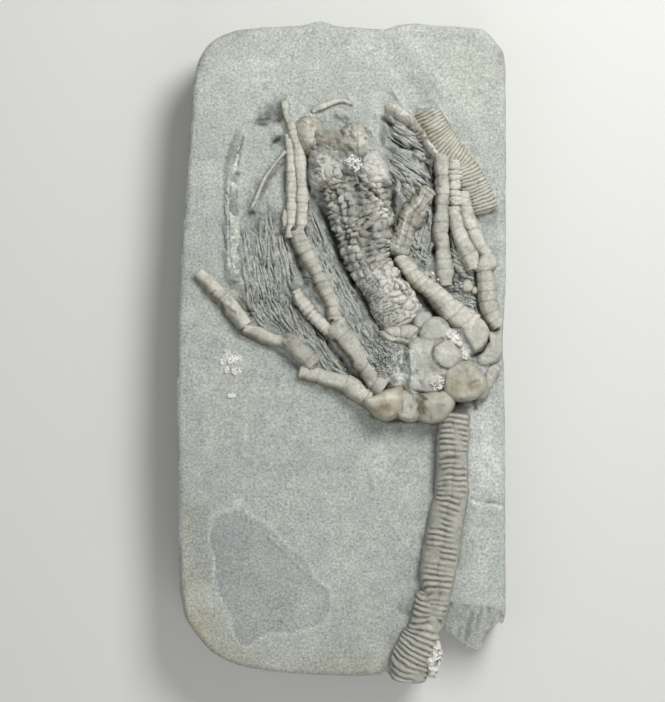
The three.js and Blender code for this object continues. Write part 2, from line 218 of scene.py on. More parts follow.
def run_of(node):
    """A long part's middle line from its end nearer the cup: rows of x, y, width and height."""
    points, _, near = merged_solid(node)
    caps = [i for i, n in enumerate(near) if len(n) == CAD_SIDES]
    level, rows, seen = sorted(near[caps[0]]), [], {caps[0]}
    while len(level) == CAD_SIDES and caps[1] not in level:
        seen |= set(level)
        ring = points[level]
        left, right = ring[np.argsort(ring[:, 2])[:2]]
        rows.append([*((left + right) / 2)[:2], math.dist(left[:2], right[:2]), ring[:, 2].max() - FACE])
        level = sorted({i for j in level for i in near[j]} - seen - {caps[1]})
    rows = np.array(rows)
    ends = [math.dist(rows[k, :2], CUP_MIDDLE) for k in (0, -1)]
    return rows if ends[0] < ends[1] else rows[::-1]


def plate_of(node):
    """A plate's outline on the face, its middle and its height."""
    points, _, near = merged_solid(node)
    on_face = np.abs(points[:, 2] - FACE) < 0.01
    middle = next(i for i in np.where(on_face)[0] if all(on_face[j] for j in near[i]))
    outline = points[sorted(near[middle]), :2]
    away = outline - points[middle, :2]
    order = np.argsort(np.arctan2(away[:, 1], away[:, 0]))
    return outline[order], points[middle, :2], points[:, 2].max() - FACE


def slab_outline():
    """The slab's footprint, anticlockwise, and its broken face as a point and a normal."""
    points, triangles, _ = merged_solid("matrix_slab")
    corners = points[triangles]
    normals = np.cross(corners[:, 1] - corners[:, 0], corners[:, 2] - corners[:, 0])
    area = np.linalg.norm(normals, axis=1)
    normals /= area[:, None]
    leaning = (normals[:, 2] > 0.1) & (normals[:, 2] < 0.95)
    broken = np.argmax(np.where(leaning, area, 0))
    flat_back = triangles[normals[:, 2] < -0.95]
    edges = [edge for triangle in flat_back for edge in zip(triangle, np.roll(triangle, -1))]
    reversed_edges = {(b, a) for a, b in edges}
    follow = {a: b for a, b in edges if (a, b) not in reversed_edges}
    start = next(iter(follow))
    loop, here = [start], follow[start]
    while here != start:
        loop.append(here)
        here = follow[here]
    return points[loop[::-1], :2], corners[broken, 0], normals[broken]


# ---- building meshes -----------------------------------------------------------------------
def build_mesh(name, points, faces, paint=None):
    """A smooth-shaded object from points in millimetres and lists of faces, with its painted amounts."""
    mesh = bpy.data.meshes.new(name)
    sizes = np.concatenate([np.full(len(f), np.shape(f)[1]) for f in faces])
    corners = np.concatenate([np.ravel(f) for f in faces]).astype(np.int32)
    mesh.vertices.add(len(points))
    mesh.loops.add(len(corners))
    mesh.polygons.add(len(sizes))
    mesh.vertices.foreach_set("co", (np.asarray(points) * MM).astype(np.float32).ravel())
    mesh.loops.foreach_set("vertex_index", corners)
    starts = np.concatenate([[0], np.cumsum(sizes)[:-1]]).astype(np.int32)
    mesh.polygons.foreach_set("loop_start", starts)
    mesh.update(calc_edges=True)
    mesh.validate()
    mesh.polygons.foreach_set("use_smooth", np.ones(len(sizes), bool))
    paint_mesh(mesh, paint or {})
    piece = bpy.data.objects.new(name, mesh)
    bpy.context.scene.collection.objects.link(piece)
    return piece


PAINTS = ("dirt_and_shade", "stain", "chalk", "weathered")   # dirt in joints and painted shade in creases and hollows, brown, pale, grey


def paint_mesh(mesh, paint):
    """Keeps painted amounts as attributes that the stones' materials read."""
    for name in PAINTS:
        amount = np.zeros(len(mesh.vertices)) + paint.get(name, 0.0)
        layer = mesh.attributes.get(name) or mesh.attributes.new(name, "FLOAT", "POINT")
        layer.data.foreach_set("value", np.clip(amount, 0, 1).astype(np.float32))


def skin(loops):
    """Faces of a closed body over stacked loops of equal length, each end shut by a fan round one point."""
    count, sides = loops.shape[:2]
    at = np.arange(count * sides).reshape(count, sides)
    beside = np.roll(at, -1, 1)
    quads = np.stack([at[:-1], at[1:], beside[1:], beside[:-1]], -1).reshape(-1, 4)
    start, end = count * sides, count * sides + 1
    fans = np.concatenate([
        np.stack([np.full(sides, start), at[0], beside[0]], -1),
        np.stack([np.full(sides, end), beside[-1], at[-1]], -1)])
    return [quads, fans]


def finish_piece(piece, name, *nodes):
    """Gives a piece the stone that goes with its name, hangs it under the root body, and hides the CAD nodes
    it stands for.
    """
    material = MATERIAL_OF.get(name, BONE_CALCITE)
    piece.data.materials.clear()
    piece.data.materials.append(material)
    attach(piece, "root")
    if nodes:
        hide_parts(*nodes)


def reach_out(run, start, end):
    """A run carried on straight at both ends, by so many millimetres."""
    first, last = run[0].copy(), run[-1].copy()
    for row, inner, reach in ((first, run[1], start), (last, run[-2], end)):
        away = row[:2] - inner[:2]
        row[:2] += away / np.linalg.norm(away) * reach
    return np.vstack([first, run, last])


def held_in(xyz):
    """Fossils stop at the sawn edge on the right: whatever would cross it is pressed back against it."""
    over = xyz[..., 0] - (SLAB_SIDE - SIDE_SOFT)
    xyz[..., 0] = np.where(over > 0, SLAB_SIDE - SIDE_SOFT + SIDE_SOFT * np.tanh(over / SIDE_SOFT),
                           xyz[..., 0])


def limb(name, shape, widen=0.3, end_round=0.35, reach=(0.3, 0.3), fuller=((0, 0, 0), (1, 0, 0)),
         least=0.0, square=0.75, back=0.55, lean=0.0, raised=((0, 1), (1, 1))):
    """A long fossil lofted finely along its CAD part. shape(s, u, width, xyz) gives how far its skin stands
    out, and its paint: s is the distance from its base, u runs from 0 at its left side to 1 at its right.
    fuller lists a distance from its base, the extra width there, and how far that moves it to its right;
    raised does the same for its height. A section is boxier the lower square and back are; lean moves its
    top to its right."""
    run = smooth_path(reach_out(run_of(name), *reach), FINE)
    xy = run[:, :2]
    s = np.concatenate([[0], np.cumsum(np.hypot(*np.diff(xy, axis=0).T))])
    height = run[:, 3] * np.interp(s, *zip(*raised))
    places, extras, shifts = zip(*fuller)
    width = np.maximum(run[:, 2], least) + widen + np.interp(s, places, extras)
    width = width * (1 + 0.03 * noise(xy, 1.1, 17))
    along = np.gradient(xy, axis=0)
    along /= np.linalg.norm(along, axis=1)[:, None]
    across = np.stack([along[:, 1], -along[:, 0]], 1)
    xy = xy + across * np.interp(s, places, shifts)[:, None]
    to_end = np.minimum(s, s[-1] - s)
    close = np.sqrt(np.clip(1 - (1 - np.clip(to_end / end_round, 0, 1)) ** 2, 0.09, 1))
    sides = int(np.ceil((width.max() + 1.6 * height.max()) / FINE / 1.1))
    u = np.linspace(0, 1, sides)
    angle = np.pi * (1 - u)
    up = (np.clip(np.sin(angle), 0, 1)[None, :] ** back) * (height * close)[:, None]
    aside = np.sign(np.cos(angle)) * np.abs(np.cos(angle)) ** square
    out = aside[None, :] * (width * close / 2)[:, None] + lean * up
    xyz = np.concatenate([xy[:, None, :] + across[:, None, :] * out[..., None],
                          (FACE + up)[..., None]], -1)
    grown, paint = shape(s[:, None] + 0 * u, u[None, :] + 0 * s[:, None], width[:, None], xyz)
    normal_out = np.cos(angle)[None, :] * height[:, None]
    normal_up = np.sin(angle)[None, :] * width[:, None] / 2
    size = np.hypot(normal_out, normal_up)
    grown = grown * close[:, None]
    xyz[..., :2] += across[:, None, :] * (grown * normal_out / size)[..., None]
    xyz[..., 2] += grown * normal_up / size
    held_in(xyz)
    sunk = xyz[:, [-1, 0]].copy()
    sunk[..., 2] = FACE - SINK
    loops = np.concatenate([xyz, sunk], 1)
    ends = [np.append(xy[k], FACE - SINK / 2) for k in (0, -1)]
    flat = {key: np.concatenate([np.concatenate([value, value[:, [-1, 0]]], 1).ravel(), [0.5, 0.5]])
            for key, value in ((k, v + 0 * s[:, None] * u) for k, v in paint.items())}
    points = np.concatenate([loops.reshape(-1, 3), ends])
    return build_mesh(name, points, skin(loops), flat)


def plate(name, shape, widen=0.75, fullness=7, edge=0.45, raised=1.0, drawn=None):
    """A plate swelling from its CAD outline, or from a drawn outline and height. shape(xyz, r) gives how
    far it stands out, and its paint; r is 1 at the rim."""
    if drawn:
        outline, height = np.array(drawn[0], float), drawn[1]
        middle = outline.mean(0)
    else:
        outline, middle, height = plate_of(name)
    height = height * raised
    rim = smooth_path(outline, PLATE_FINE, closed=True)
    away = rim - middle
    reach = np.linalg.norm(away, axis=1)
    away *= ((reach + widen + 0.16 * fractal(rim, 1.5, 2, 18)) / reach)[:, None]
    rings = max(8, int(1.7 * reach.max() / PLATE_FINE))
    r = np.cos(np.linspace(0, np.pi / 2, rings + 1)[:-1] * 0.98) ** 0.75
    rise = height * (1 - r ** fullness) ** edge
    xyz = np.concatenate([middle + away[None] * r[:, None, None],
                          (FACE + rise)[:, None, None] + 0 * away[None, :, :1]], -1)
    grown, paint = shape(xyz, r[:, None] + 0 * reach)
    grown = grown * (1 - 0.8 * r[:, None] ** 8)
    lift = 1 - 0.6 * r[:, None] ** 3
    xyz[..., 2] += grown * lift
    xyz[..., :2] += away[None] / reach[None, :, None] * (grown * (1 - lift))[..., None]
    held_in(xyz)
    base = xyz[:1].copy()
    base[..., 2] = FACE - SINK
    loops = np.concatenate([base, xyz], 0)[::-1]
    top = np.append(middle, xyz[-1, :, 2].mean() + 0.004)
    ends = [top, np.append(middle, FACE - SINK)]
    flat = {key: np.concatenate([np.concatenate([value[:1] * 0 + value[:1].mean(), value], 0)[::-1].ravel(),
                                 [value[-1].mean(), 0.5]])
            for key, value in ((k, v + 0 * xyz[..., 0]) for k, v in paint.items())}
    return build_mesh(name, np.concatenate([loops.reshape(-1, 3), ends]), skin(loops), flat)


# ---- the slab ------------------------------------------------------------------------------
# Ground left between the fossils: how high it stands over the face, how soft its edge is, how rough it is,
# and its outline.
BEDS = [
    (0.7, 2.4, 1.0, [(-17.8, 11.5), (-16.8, 20.5), (-14, 24.5), (-10.4, 24), (-7.6, 20.5), (-4.5, 14),
                     (-1.3, 7), (1, 2), (6, -4.5), (4, -6.4), (-6.6, -1.6), (-10.5, 3.6), (-16.5, 5),
                     (-18.6, 8.4)]),
    (0.25, 0.8, 1.1, [(-4.2, 39.4), (-1, 40.8), (1.6, 39.9), (1.2, 37.4), (-2, 37.2)]),
    (1.25, 0.9, 1.0, [(-7.6, 20.5), (-5.9, 26), (-5.4, 33), (-4, 26), (0, 16), (5, 6), (11, 2.5), (12, -1),
                      (10, -6.5), (6, -5), (1, 2), (-1, 6), (-4.5, 14)]),
    (2.6, 3.0, 0.8, [(5.4, 0.4), (8.4, 3.0), (11.2, 3.4), (12.4, -1), (12, -7), (8.4, -7), (5.8, -4.6)]),
    (0.9, 0.9, 0.8, [(6.5, 34.5), (8, 40.6), (10.7, 39.5), (14.5, 35), (17, 32.8), (20, 30), (20.6, 26),
                     (22, 21), (24, 16), (26, 13), (26.4, 6), (25.6, 2.5), (20, 4), (15, 9), (9.5, 14.5),
                     (8.6, 20), (7.5, 28)]),
    (2.9, 1.1, 2.4, [(-4.4, 28), (-4.6, 33.5), (-6, 36), (-4.6, 38), (0, 37), (4.4, 37.2), (7.2, 33),
                     (7.6, 28.6), (4, 27)]),
    (3.3, 0.9, 0.3, [(11, -6.4), (10.6, -9.6), (13.5, -10.2), (17, -9.8), (18.6, -7.4), (22.2, -6.5),
                     (24.2, -4.6), (26, -1), (26, 3), (20.5, 4.2), (16, 4.2), (12.4, 3), (11, 0),
                     (11, -4.4)]),
]
# Marks on the prepared face: path, half width, rise (mm), and paint.
FACE_MARKS = [
    # the deep groove along the sac, and the one along the middle arm, painted dark as their shade
    ([(-4.9, 26.3), (-3.5, 24), (-1.8, 22), (-1.2, 20.5), (-0.3, 17.5), (1.3, 14.3), (2.2, 12)], 0.75, -1.4,
     0.6),
    ([(2.2, 12), (3.3, 10.5), (4.9, 7.3), (5.6, 6), (6.9, 3.5), (7.6, 2.6)], 0.45, -0.9, 0.55),
    ([(8.3, 15.8), (9, 14.5), (10.5, 12.8), (12, 10.8), (14, 9.5), (15, 8), (16.4, 6.3), (18, 4.3)], 0.5,
     -1.5, 0.9),
    # hollows round the arms of the left side, painted dark and grey as their shade
    ([(-14, 39), (-12, 40.8), (-10.9, 39.8)], 1.0, -0.55, dict(dirt_and_shade=0.28, weathered=0.4)),
    ([(-14.6, 38.8), (-13, 38.6)], 0.25, -0.2, dict(dirt_and_shade=0.5, stain=0.3)),
    ([(-11.6, 35.6), (-10.6, 36.2)], 0.35, -0.3, 0.3),
    ([(-12, 35), (-10.6, 36.3)], 0.5, -0.3, 0.45),
    ([(-8.2, 38), (-6.7, 40.8)], 0.6, 0.25, dict(chalk=0.35)),
    ([(-7.4, 37.5), (-6.9, 36), (-6, 34.3), (-5.5, 33.5), (-5.5, 30), (-5.5, 27)], 0.3, -0.8, 0.9),
    ([(-7.6, 33), (-7.6, 28), (-7.5, 21.5)], 0.25, -0.7, 0.9),
    ([(-9.5, 30.5), (-9.6, 27)], 0.2, -0.3, 0.5),
    ([(-10, 31.9), (-12.2, 29.2), (-13.9, 25.8)], 0.3, -0.25, 0.6),
    ([(-15.6, 23.4), (-14.9, 23.6)], 0.35, -0.3, 0.7),
    ([(-14, 22.4), (-11, 22.2)], 0.2, -0.12, 0.3),
    ([(-16.6, 36.5), (-17, 35), (-17.6, 33.5), (-17.9, 31.2)], 0.2, -0.25, 0.45),
    ([(-18.3, 30.3), (-17.4, 30.1)], 0.25, -0.3, 0.6),
    ([(-19.4, 27), (-19.5, 23), (-19.3, 18), (-19, 13)], 0.15, -0.12, 0.3),
    ([(-19.9, 30.5), (-19.2, 34), (-18, 37.2)], 0.2, -0.12, 0.22),
    ([(-18.7, 12), (-17.5, 11.7)], 0.16, -0.2, 0.5),
    ([(-10.9, 19.8), (-10.4, 20.5), (-9.6, 18.3), (-8.8, 14.8), (-8.5, 11.7)], 0.2, -0.35, 0.5),
    ([(-9.3, 20.4), (-8.2, 17.6), (-7, 14.2), (-6, 11.6)], 0.45, -0.45, 0.6),
    ([(-15.8, 7.2), (-15.3, 6)], 0.3, -0.2, 0.3),
    ([(-8.4, 8.6), (-6.6, 6.2), (-4.2, 3.6), (-2.6, 2)], 0.5, -0.55, 0.65),
    ([(-2.4, 1.4), (0, -1.4), (1.6, -4), (3, -5.6)], 0.5, -0.5, 0.55),
    ([(-3, 1), (-1.6, -1.6)], 0.35, 0.35, dict(chalk=0.1)),
    ([(-2.4, 8.3), (-3, 9.6), (-4.9, 12)], 0.35, -0.5, 0.5),
    # painted shade along the undercut on the lower side of the lowest arm
    ([(4.4, -9.3), (0.4, -7.2), (-3.4, -5.4), (-6.4, -4.3)], 0.35, -0.35, 0.55),
    ([(-7.2, -3), (-9.2, -0.8), (-12, 0.6), (-15.2, 2.3), (-17.6, 3.4)], 0.35, -0.3, 0.5),
    ([(-18.2, 4), (-20.4, 7.3), (-22.6, 9.6), (-25, 12.2)], 0.4, -0.25, dict(dirt_and_shade=0.4, weathered=0.3)),
    ([(5.2, -10.7), (8, -11.5), (10.8, -11.5), (13.5, -11.4), (16, -11.6)], 0.4, -0.5, 0.75),
    # under and beside the cup: hollows painted dark as their shade, and a pale wash
    ([(18.6, -8.9), (20.6, -8), (22.3, -7.8)], 0.45, -0.7, 0.75),
    ([(22.4, -7.8), (22.7, -9.6)], 0.35, -0.5, 0.6),
    ([(23.4, -7.2), (25, -5), (26.2, -3)], 0.3, -0.4, 0.6),
    ([(13.1, 3.2)], 0.45, -1.6, 1),
    ([(10.9, 1.6), (11, -1), (11.3, -3.6), (10.9, -5.4)], 0.25, -0.3, 0.35),
    ([(10.6, 1), (10.8, -5), (8, -5.5), (20, 1.5), (21, -1.6)], 1.6, 0, dict(chalk=0.5)),
    ([(7, 2.2), (9.8, 1.4), (12, 1.8)], 0.35, -0.4, 0.5),
    ([(5.4, -6.6), (7.8, -5.4), (9.6, -5)], 0.35, -0.3, 0.4),
    ([(22.0, -0.8), (23.6, -0.2), (24.8, 1.2), (25.3, 3.2)], 0.45, -1.0, 0.85),
    ([(20.4, -1.6), (22, -1.6)], 0.3, -0.4, 0.5),
    # hollows and creases between the right arms, painted dark as their shade
    ([(7, 39.4), (8, 39), (8.5, 38.2)], 0.5, -0.9, 0.7),
    ([(8.8, 35.8), (10.2, 35.3), (12, 34.2)], 0.4, -0.8, 0.8),
    ([(14.2, 32.4), (15.3, 30.8), (15.7, 29.2)], 0.75, -1.1, 0.7),
    ([(13.8, 29.5), (14.2, 28), (13.3, 26.9), (12.2, 26.3)], 0.3, -0.5, 0.6),
    ([(15.9, 31.5), (15.6, 27), (15.5, 22), (15.8, 17)], 0.35, -0.9, 0.8),
    ([(18.2, 24), (18.1, 19), (18.4, 15.5), (18.9, 12.8)], 0.4, -0.9, 0.85),
    ([(20.6, 22.6), (21.4, 19.6), (22.4, 17.3)], 0.3, -0.9, 0.9),
    ([(22.7, 13.6), (22.8, 10.5), (22.9, 7.5)], 0.35, -0.7, 0.7),
    ([(8.7, 26.5), (8.5, 21.5), (8.4, 17.5)], 0.5, -1.1, 0.8),
    ([(12.4, 17.4), (14.2, 16.6), (15.6, 16.6)], 0.4, -0.7, 0.7),
    ([(18, 28.2), (18, 32.3)], 0.22, -0.9, 0.9),
    ([(17.9, 25.4), (18.4, 27.4)], 0.35, -0.8, 0.7),
    ([(22.6, 30.6), (24.4, 27.8), (25.9, 25.4), (25.2, 23.6)], 0.3, -0.3, 0.35),
    ([(16.7, 40.5), (19, 36.9), (22.3, 32.2)], 0.22, -0.2, 0.3),
    # the smooth hollow under the arched arm, painted greyer as its shade, the pale fan, the bright ridge off
    # the arm and the trough beyond it
    ([(6.2, 37.8), (6.6, 35.2)], 1.4, -0.7, dict(weathered=0.2)),
    ([(9, 38), (12, 33), (11.4, 28.5)], 2.4, 0, dict(chalk=0.5)),
    ([(8.9, 44.2), (9.9, 42.4), (11.2, 40.4)], 0.55, 0.5, dict(chalk=0.5)),
    ([(11, 40.4), (13, 41.4), (15.4, 41.7)], 0.5, 0.3, dict(chalk=0.6)),
    ([(8.2, 51.6), (10.7, 47.6), (13.3, 43.6)], 1.5, -0.32, dict(weathered=0.25)),
    ([(12.4, 51), (15.4, 47.6), (17.4, 44.4)], 1.6, 0.3, dict(chalk=0.15)),
    ([(3.4, 52), (5.6, 48)], 1.6, 0.2, dict(chalk=0.15)),
    ([(20.6, 52.4), (21.6, 47), (23.6, 42.4)], 1.6, -0.25, dict(weathered=0.12)),
    ([(26.9, 48.8), (26.9, 50.6)], 0.45, -0.15, 0.3),
    # chalky spots, scratches, stains, hollows painted dark as their shade, and darkening towards the lower
    # left
    ([(21.3, -24.4), (24, -25.4), (27.4, -25.7)], 0.12, -0.15, 0.4),
    ([(22.4, -25.7), (23.6, -26.2)], 0.3, 0, dict(chalk=0.8)),
    ([(25.8, -26), (27.2, -26.4)], 0.25, 0, dict(chalk=0.9)),
    ([(22, -17.7), (23, -18), (24.2, -19.6), (26.4, -22)], 0.5, -0.15, dict(weathered=0.35)),
    ([(24.2, -14.6), (25.4, -17.6), (26.8, -20.6)], 0.5, 0.1, dict(chalk=0.5)),
    ([(-26.5, -38), (-25.5, -47), (-20, -53)], 2.6, 0, dict(stain=0.16)),
    ([(8.8, 1.8), (10.3, -1.2), (9.5, -5.4)], 1.9, 0, dict(dirt_and_shade=-0.3, weathered=-0.35, chalk=0.28)),
    ([(-3.8, 36.4), (-0.8, 35.8), (1.2, 34.2), (2.6, 35.4)], 1.5, 0, dict(stain=0.5, weathered=0.45)),
    ([(-13, 39.9), (-11.6, 40.9), (-10.7, 41.7)], 1.4, -0.5, dict(dirt_and_shade=0.22, weathered=0.55)),
    ([(-14.5, 39.3), (-12.7, 39.6), (-10.4, 39.1)], 0.28, 0.1, dict(dirt_and_shade=0.5, weathered=0.3)),
    ([(-11.4, 36), (-10.4, 35.3)], 0.8, -0.25, dict(dirt_and_shade=0.22, weathered=0.4)),
    ([(-20, 47), (-8, 51), (10, 50), (23, 46)], 6.0, 0, dict(chalk=0.22, stain=0.06)),
    ([(21, 50), (24, 40)], 4.0, 0, dict(chalk=0.15, stain=0.12)),
    ([(-15, 49.6), (-12, 49.2), (-8.4, 49.8)], 1.0, -0.22, dict(stain=0.2, chalk=0.15)),
    ([(-4.5, 55.3), (-5, 53.2), (-5.7, 51.4)], 0.14, -0.14, 0.35),
    ([(1.7, 50.3), (1.7, 53)], 0.5, 0.16, dict(chalk=0.25)),
    ([(-16.3, -8), (-16.4, -11), (-16.2, -15)], 0.25, 0.03, dict(chalk=0.35)),
    ([(-13, -31.3), (-10, -34), (-6.5, -37.6), (-2.3, -40.6)], 0.14, -0.1, 0.18),
    ([(-12.6, -30.9), (-9.6, -33.6), (-6.1, -37.2), (-2, -40.2)], 0.14, 0.07, dict(chalk=0.4)),
    ([(-10.4, -45.8)], 0.25, -0.1, 0.7),
    ([(7.4, -31), (8.4, -31.8)], 0.16, -0.08, dict(dirt_and_shade=0.25, chalk=0.1)),
    ([(22, -24.7), (24.5, -25.4), (27.8, -25.9)], 0.18, -0.12, 0.2),
    ([(22.4, -25.2), (24.8, -25.9), (27.6, -26.2)], 0.16, 0.1, dict(chalk=0.65)),
    ([(-26.2, -31.3), (-25.6, -28.5), (-26, -26)], 1.0, 0, dict(stain=0.2)),
    ([(-23.6, -25), (-23.8, -38)], 2.8, 0, dict(stain=0.1, weathered=0.7)),
    ([(-25, -44), (-22, -52), (-10, -54.5), (4, -54)], 4.5, 0, dict(stain=0.3, weathered=0.45)),
    ([(20.5, -1), (20.8, 0.3)], 0.3, 0, dict(chalk=0.5)),
    # ground along the stem: a ridge on its right, painted shade in a band on its left, the hump by the joint
    ([(21.3, -11.5), (21.3, -16), (21.6, -20.5)], 0.45, 0.5, dict(chalk=0.35)),
    ([(23.6, -11), (25, -16), (24.6, -22)], 2.6, 0.1, dict(chalk=0.65)),
    ([(24.6, -30), (23.6, -38)], 2.2, 0, dict(chalk=0.35)),
    ([(15.6, -12), (15.7, -18), (15.5, -24)], 0.4, -0.3, 0.45),
    ([(15.2, -27), (14, -31), (13.3, -35.5), (12.6, -38.5)], 0.35, -0.2, 0.35),
    ([(12.2, -42.2), (11.6, -43.4)], 0.9, 0.7, dict(dirt_and_shade=0.15, weathered=0.3)),
    ([(10.2, -41.6), (9.9, -44)], 0.3, -0.2, 0.3),
    ([(20.9, -27), (20.6, -31.5), (19.9, -37)], 0.3, -0.15, 0.25),
    ([(16.8, -43.2), (17.3, -46.5)], 0.6, -0.6, 0.6),
]
CROWN = [(-22, 13), (-20, 38), (-10, 44.5), (12, 44.5), (27.2, 38), (27.2, -12), (4, -12.5), (-8, -5),
         (-19, 3)]
# Beds of feathers pressed flat: outline, the point they spread from, their spacing, depth and soft edge (mm).
FIBRES = [
    ([(-16.6, 26), (-14, 28), (-10.6, 24), (-8.2, 11), (-12.4, 8.2), (-16, 7), (-17.4, 12)], (-9, -14), 0.62,
     0.4, 2.4),
    ([(-16.4, 9), (-8.2, 11.2), (-3, 3.6), (1.6, -3.2), (4.4, -6), (1, -5.4), (-4.6, -2.6), (-9.4, 3.2),
      (-16, 4.2)],
     (7, -9), 0.6, 0.42, 1.2),
    ([(-5.9, 26), (-4.9, 25.6), (3.6, 8), (9, 1.6), (8.4, -2.4), (5.2, -3.2), (-0.6, 4.6), (-5.4, 17)],
     (11, -14), 0.6, 0.5, 1.2),
    ([(7.6, 40.2), (10, 39.8), (15, 33.2), (16.2, 28), (11.4, 25), (8.6, 26), (7.6, 30), (8.8, 34.6),
      (8.4, 37.4)],
     (0, 44.5), 1.0, 0.95, 1.0),
    ([(12.2, 24), (15.9, 26), (15.9, 15), (13.6, 13.4), (11, 17)], (17, -6), 0.7, 0.6, 1.2),
    ([(18.1, 22), (20.3, 22), (22.6, 16), (23.2, 6), (20, 4.6), (18, 9)], (32, 2), 0.8, 0.7, 1.2),
    ([(9.2, 22), (9.4, 17), (8.4, 14.5), (7.9, 20), (8, 26)], (12, -6), 0.6, 0.5, 1.2),
]
DARK_PATCH = [(-21.4, -27), (-17, -26), (-12, -30.5), (-7, -35), (-1, -41), (-3.5, -46), (-9, -48.6),
              (-17, -49), (-20.5, -45), (-21.6, -36)]
CHALK_CRUSTS = [   # middle, half sizes and number of grains of the white crusts on the face
    (-19.3, 0.0, 0.5, 0.5, 26), (-18.3, -1.4, 1.1, 0.75, 120), (-17.9, -3.3, 0.75, 0.6, 60),
    (-19.5, -3.0, 0.4, 0.45, 34), (-20.3, -1.8, 0.25, 0.55, 22), (-18.7, -7.4, 0.6, 0.4, 40),
]


def beside_limb(xy, run):
    """How far each point is outside the flank of a long fossil, negative under it."""
    path = smooth_path(run, 0.7)
    apart = xy[:, None] - path[None, :, :2]
    away = np.hypot(apart[..., 0], apart[..., 1]) - path[None, :, 2] / 2
    return away.min(1)


# The long fossils that stone still clings to, with how high it clings.
CLINGING = {name: height for names, height in (
    (("arm_b_lower", "arm_b_middle", "arm_b_spur", "arm_c_lower"), 0.75),
    (("arm_c_upper", "arm_d_lower", "arm_d_upper", "arm_d_tip", "arm_e_trunk", "arm_e_left", "arm_e_right",
      "ossicle_row"), 0.4),
    (("arm_a_base", "arm_a_block", "arm_a_blade", "arm_a_middle", "arm_a_tip", "arm_b_left", "arm_b_right"),
     0.6),
    (("stem_upper", "stem_lower", "stem_loose", "anal_sac", "arm_f_buried"), 0.5),
    (("thin_rod", "curved_rod", "cup_rim_right"), 0.35)) for name in names}
LIMB_RUNS = {name: run_of(name) for name in CLINGING}


def fibres(xy, focus, spacing, seed):
    """Feathers that spread from a point, wavering: 0 in the cuts between them, about 1 on their backs."""
    away = xy - np.array(focus)
    reach = np.hypot(*away.T)
    across = np.arctan2(away[:, 1], away[:, 0]) * np.median(reach)
    across = across + 1.3 * noise(xy, 4.2, seed) + 0.42 * noise(xy, 1.5, seed + 1)
    wide = noise(np.stack([across / spacing, reach / spacing * 0.14], 1), 1, seed + 2)
    fine = noise(np.stack([across / spacing * 1.9, reach / spacing * 0.25], 1), 1, seed + 3)
    return np.clip(np.abs(1.3 * wide + 0.5 * fine), 0, 1.2)


def prepared_face(xy):
    """Height of the prepared face at each point, and its paint."""
    height = (FACE + 0.22 * fractal(xy, 15, 2, 1) + 0.10 * fractal(xy, 4.5, 2, 4)
              + 0.04 * fractal(xy, 0.9, 2, 9))
    paint = {name: np.zeros(len(xy)) for name in PAINTS}
    in_bed = np.zeros(len(xy))
    crags = 0.45 * fractal(xy, 1.6, 4, 21) + 0.16 * noise(xy, 0.6, 25)
    strayed = xy + 0.7 * np.stack([noise(xy, 3.2, 22), noise(xy, 3.2, 23)], 1)
    rugged = np.zeros(len(xy))
    for rise, edge, rough, outline in BEDS:
        share = soft_inside(strayed if edge > 2 else xy, outline, edge)
        height += rise * share
        in_bed = np.maximum(in_bed, share)
        rugged += (rough - rugged) * share
    height += rugged * crags
    # The ground between the fossils is darker: partly its own tone, partly painted shade among its fine
    # relief.
    paint["dirt_and_shade"] += in_bed * (0.16 + 0.28 * noise(xy, 1.1, 31)
                                 + 0.2 * ease(-fractal(xy, 0.9, 3, 27), 0.1, 0.5))
    paint["weathered"] += in_bed * (0.2 + 0.2 * noise(xy, 2.2, 33))
    for number, (outline, focus, spacing, depth, edge) in enumerate(FIBRES):
        share = soft_inside(xy, outline, edge) * (0.75 + 0.5 * noise(xy, 2.4, 290 + number))
        near = share > 0.01
        if not near.any():
            continue
        backs, share = fibres(xy[near], focus, spacing, 300 + 10 * number), share[near]
        height[near] += depth * share * (backs - 0.35)
        # Darker and greyer in the cuts between feathers, paler on their backs: painted shade and painted
        # highlight.
        paint["dirt_and_shade"][near] += share * (0.5 * (1 - ease(backs, 0.0, 0.3)) + 0.14)
        paint["weathered"][near] += share * 0.25 * (1 - backs)
        paint["chalk"][near] += share * 0.3 * ease(backs, 0.6, 1.1)
    for name, cling in CLINGING.items():
        run = LIMB_RUNS[name]
        low, high = run[:, :2].min(0) - 5, run[:, :2].max(0) + 5
        near = np.all((xy > low) & (xy < high), 1)
        if not near.any():
            continue
        spot = xy[near]
        outside = np.maximum(beside_limb(spot, run), 0)
        ragged = 1 + 0.5 * noise(spot, 1.4, 35)
        height[near] += cling * line_mark(outside, 0.6 * ragged) * ragged
        # A dark line on the ground along each fossil's foot: painted shade.
        paint["dirt_and_shade"][near] += 0.3 * line_mark(outside - 0.1, 0.22) * ragged
    add_marks(FACE_MARKS, xy, height, paint,
              lambda spot: 0.35 * noise(spot, 0.9, 41), lambda spot: 0.3 * noise(spot, 0.7, 43))
    paint["weathered"] += 0.2 * ease(fractal(xy, 9, 3, 46), 0.0, 0.6)
    paint["chalk"] += 0.22 * ease(fractal(xy, 6, 3, 47), 0.1, 0.6)
    paint["stain"] += 0.1 * ease(fractal(xy, 9, 3, 48), 0.1, 0.6)
    patch = soft_inside(xy + 1.2 * np.stack([noise(xy, 4, 51), noise(xy, 4, 52)], 1), DARK_PATCH, 0.5)
    paint["weathered"] += 0.5 * patch
    paint["chalk"] += 1.6 * patch * (1 - patch)
    for x, y, half_x, half_y, _ in CHALK_CRUSTS:
        spot = (xy - (x, y)) / (half_x * 1.1, half_y * 1.1)
        paint["chalk"] += ease(1.2 + 0.5 * noise(xy, 0.5, 53) - np.hypot(*spot.T), 0, 0.5)
    sanding = noise(xy * (1.0, 0.06), 0.5, 61) * ease(-xy[:, 0], 19, 23) * ease(xy[:, 1], -4, 4)
    height += 0.02 * sanding
    ripples = noise(xy * (1.0, 0.12), 0.6, 63) * ease(xy[:, 0], 21, 25) * ease(xy[:, 1], 30, 38)
    height += 0.03 * ripples
    return height, paint


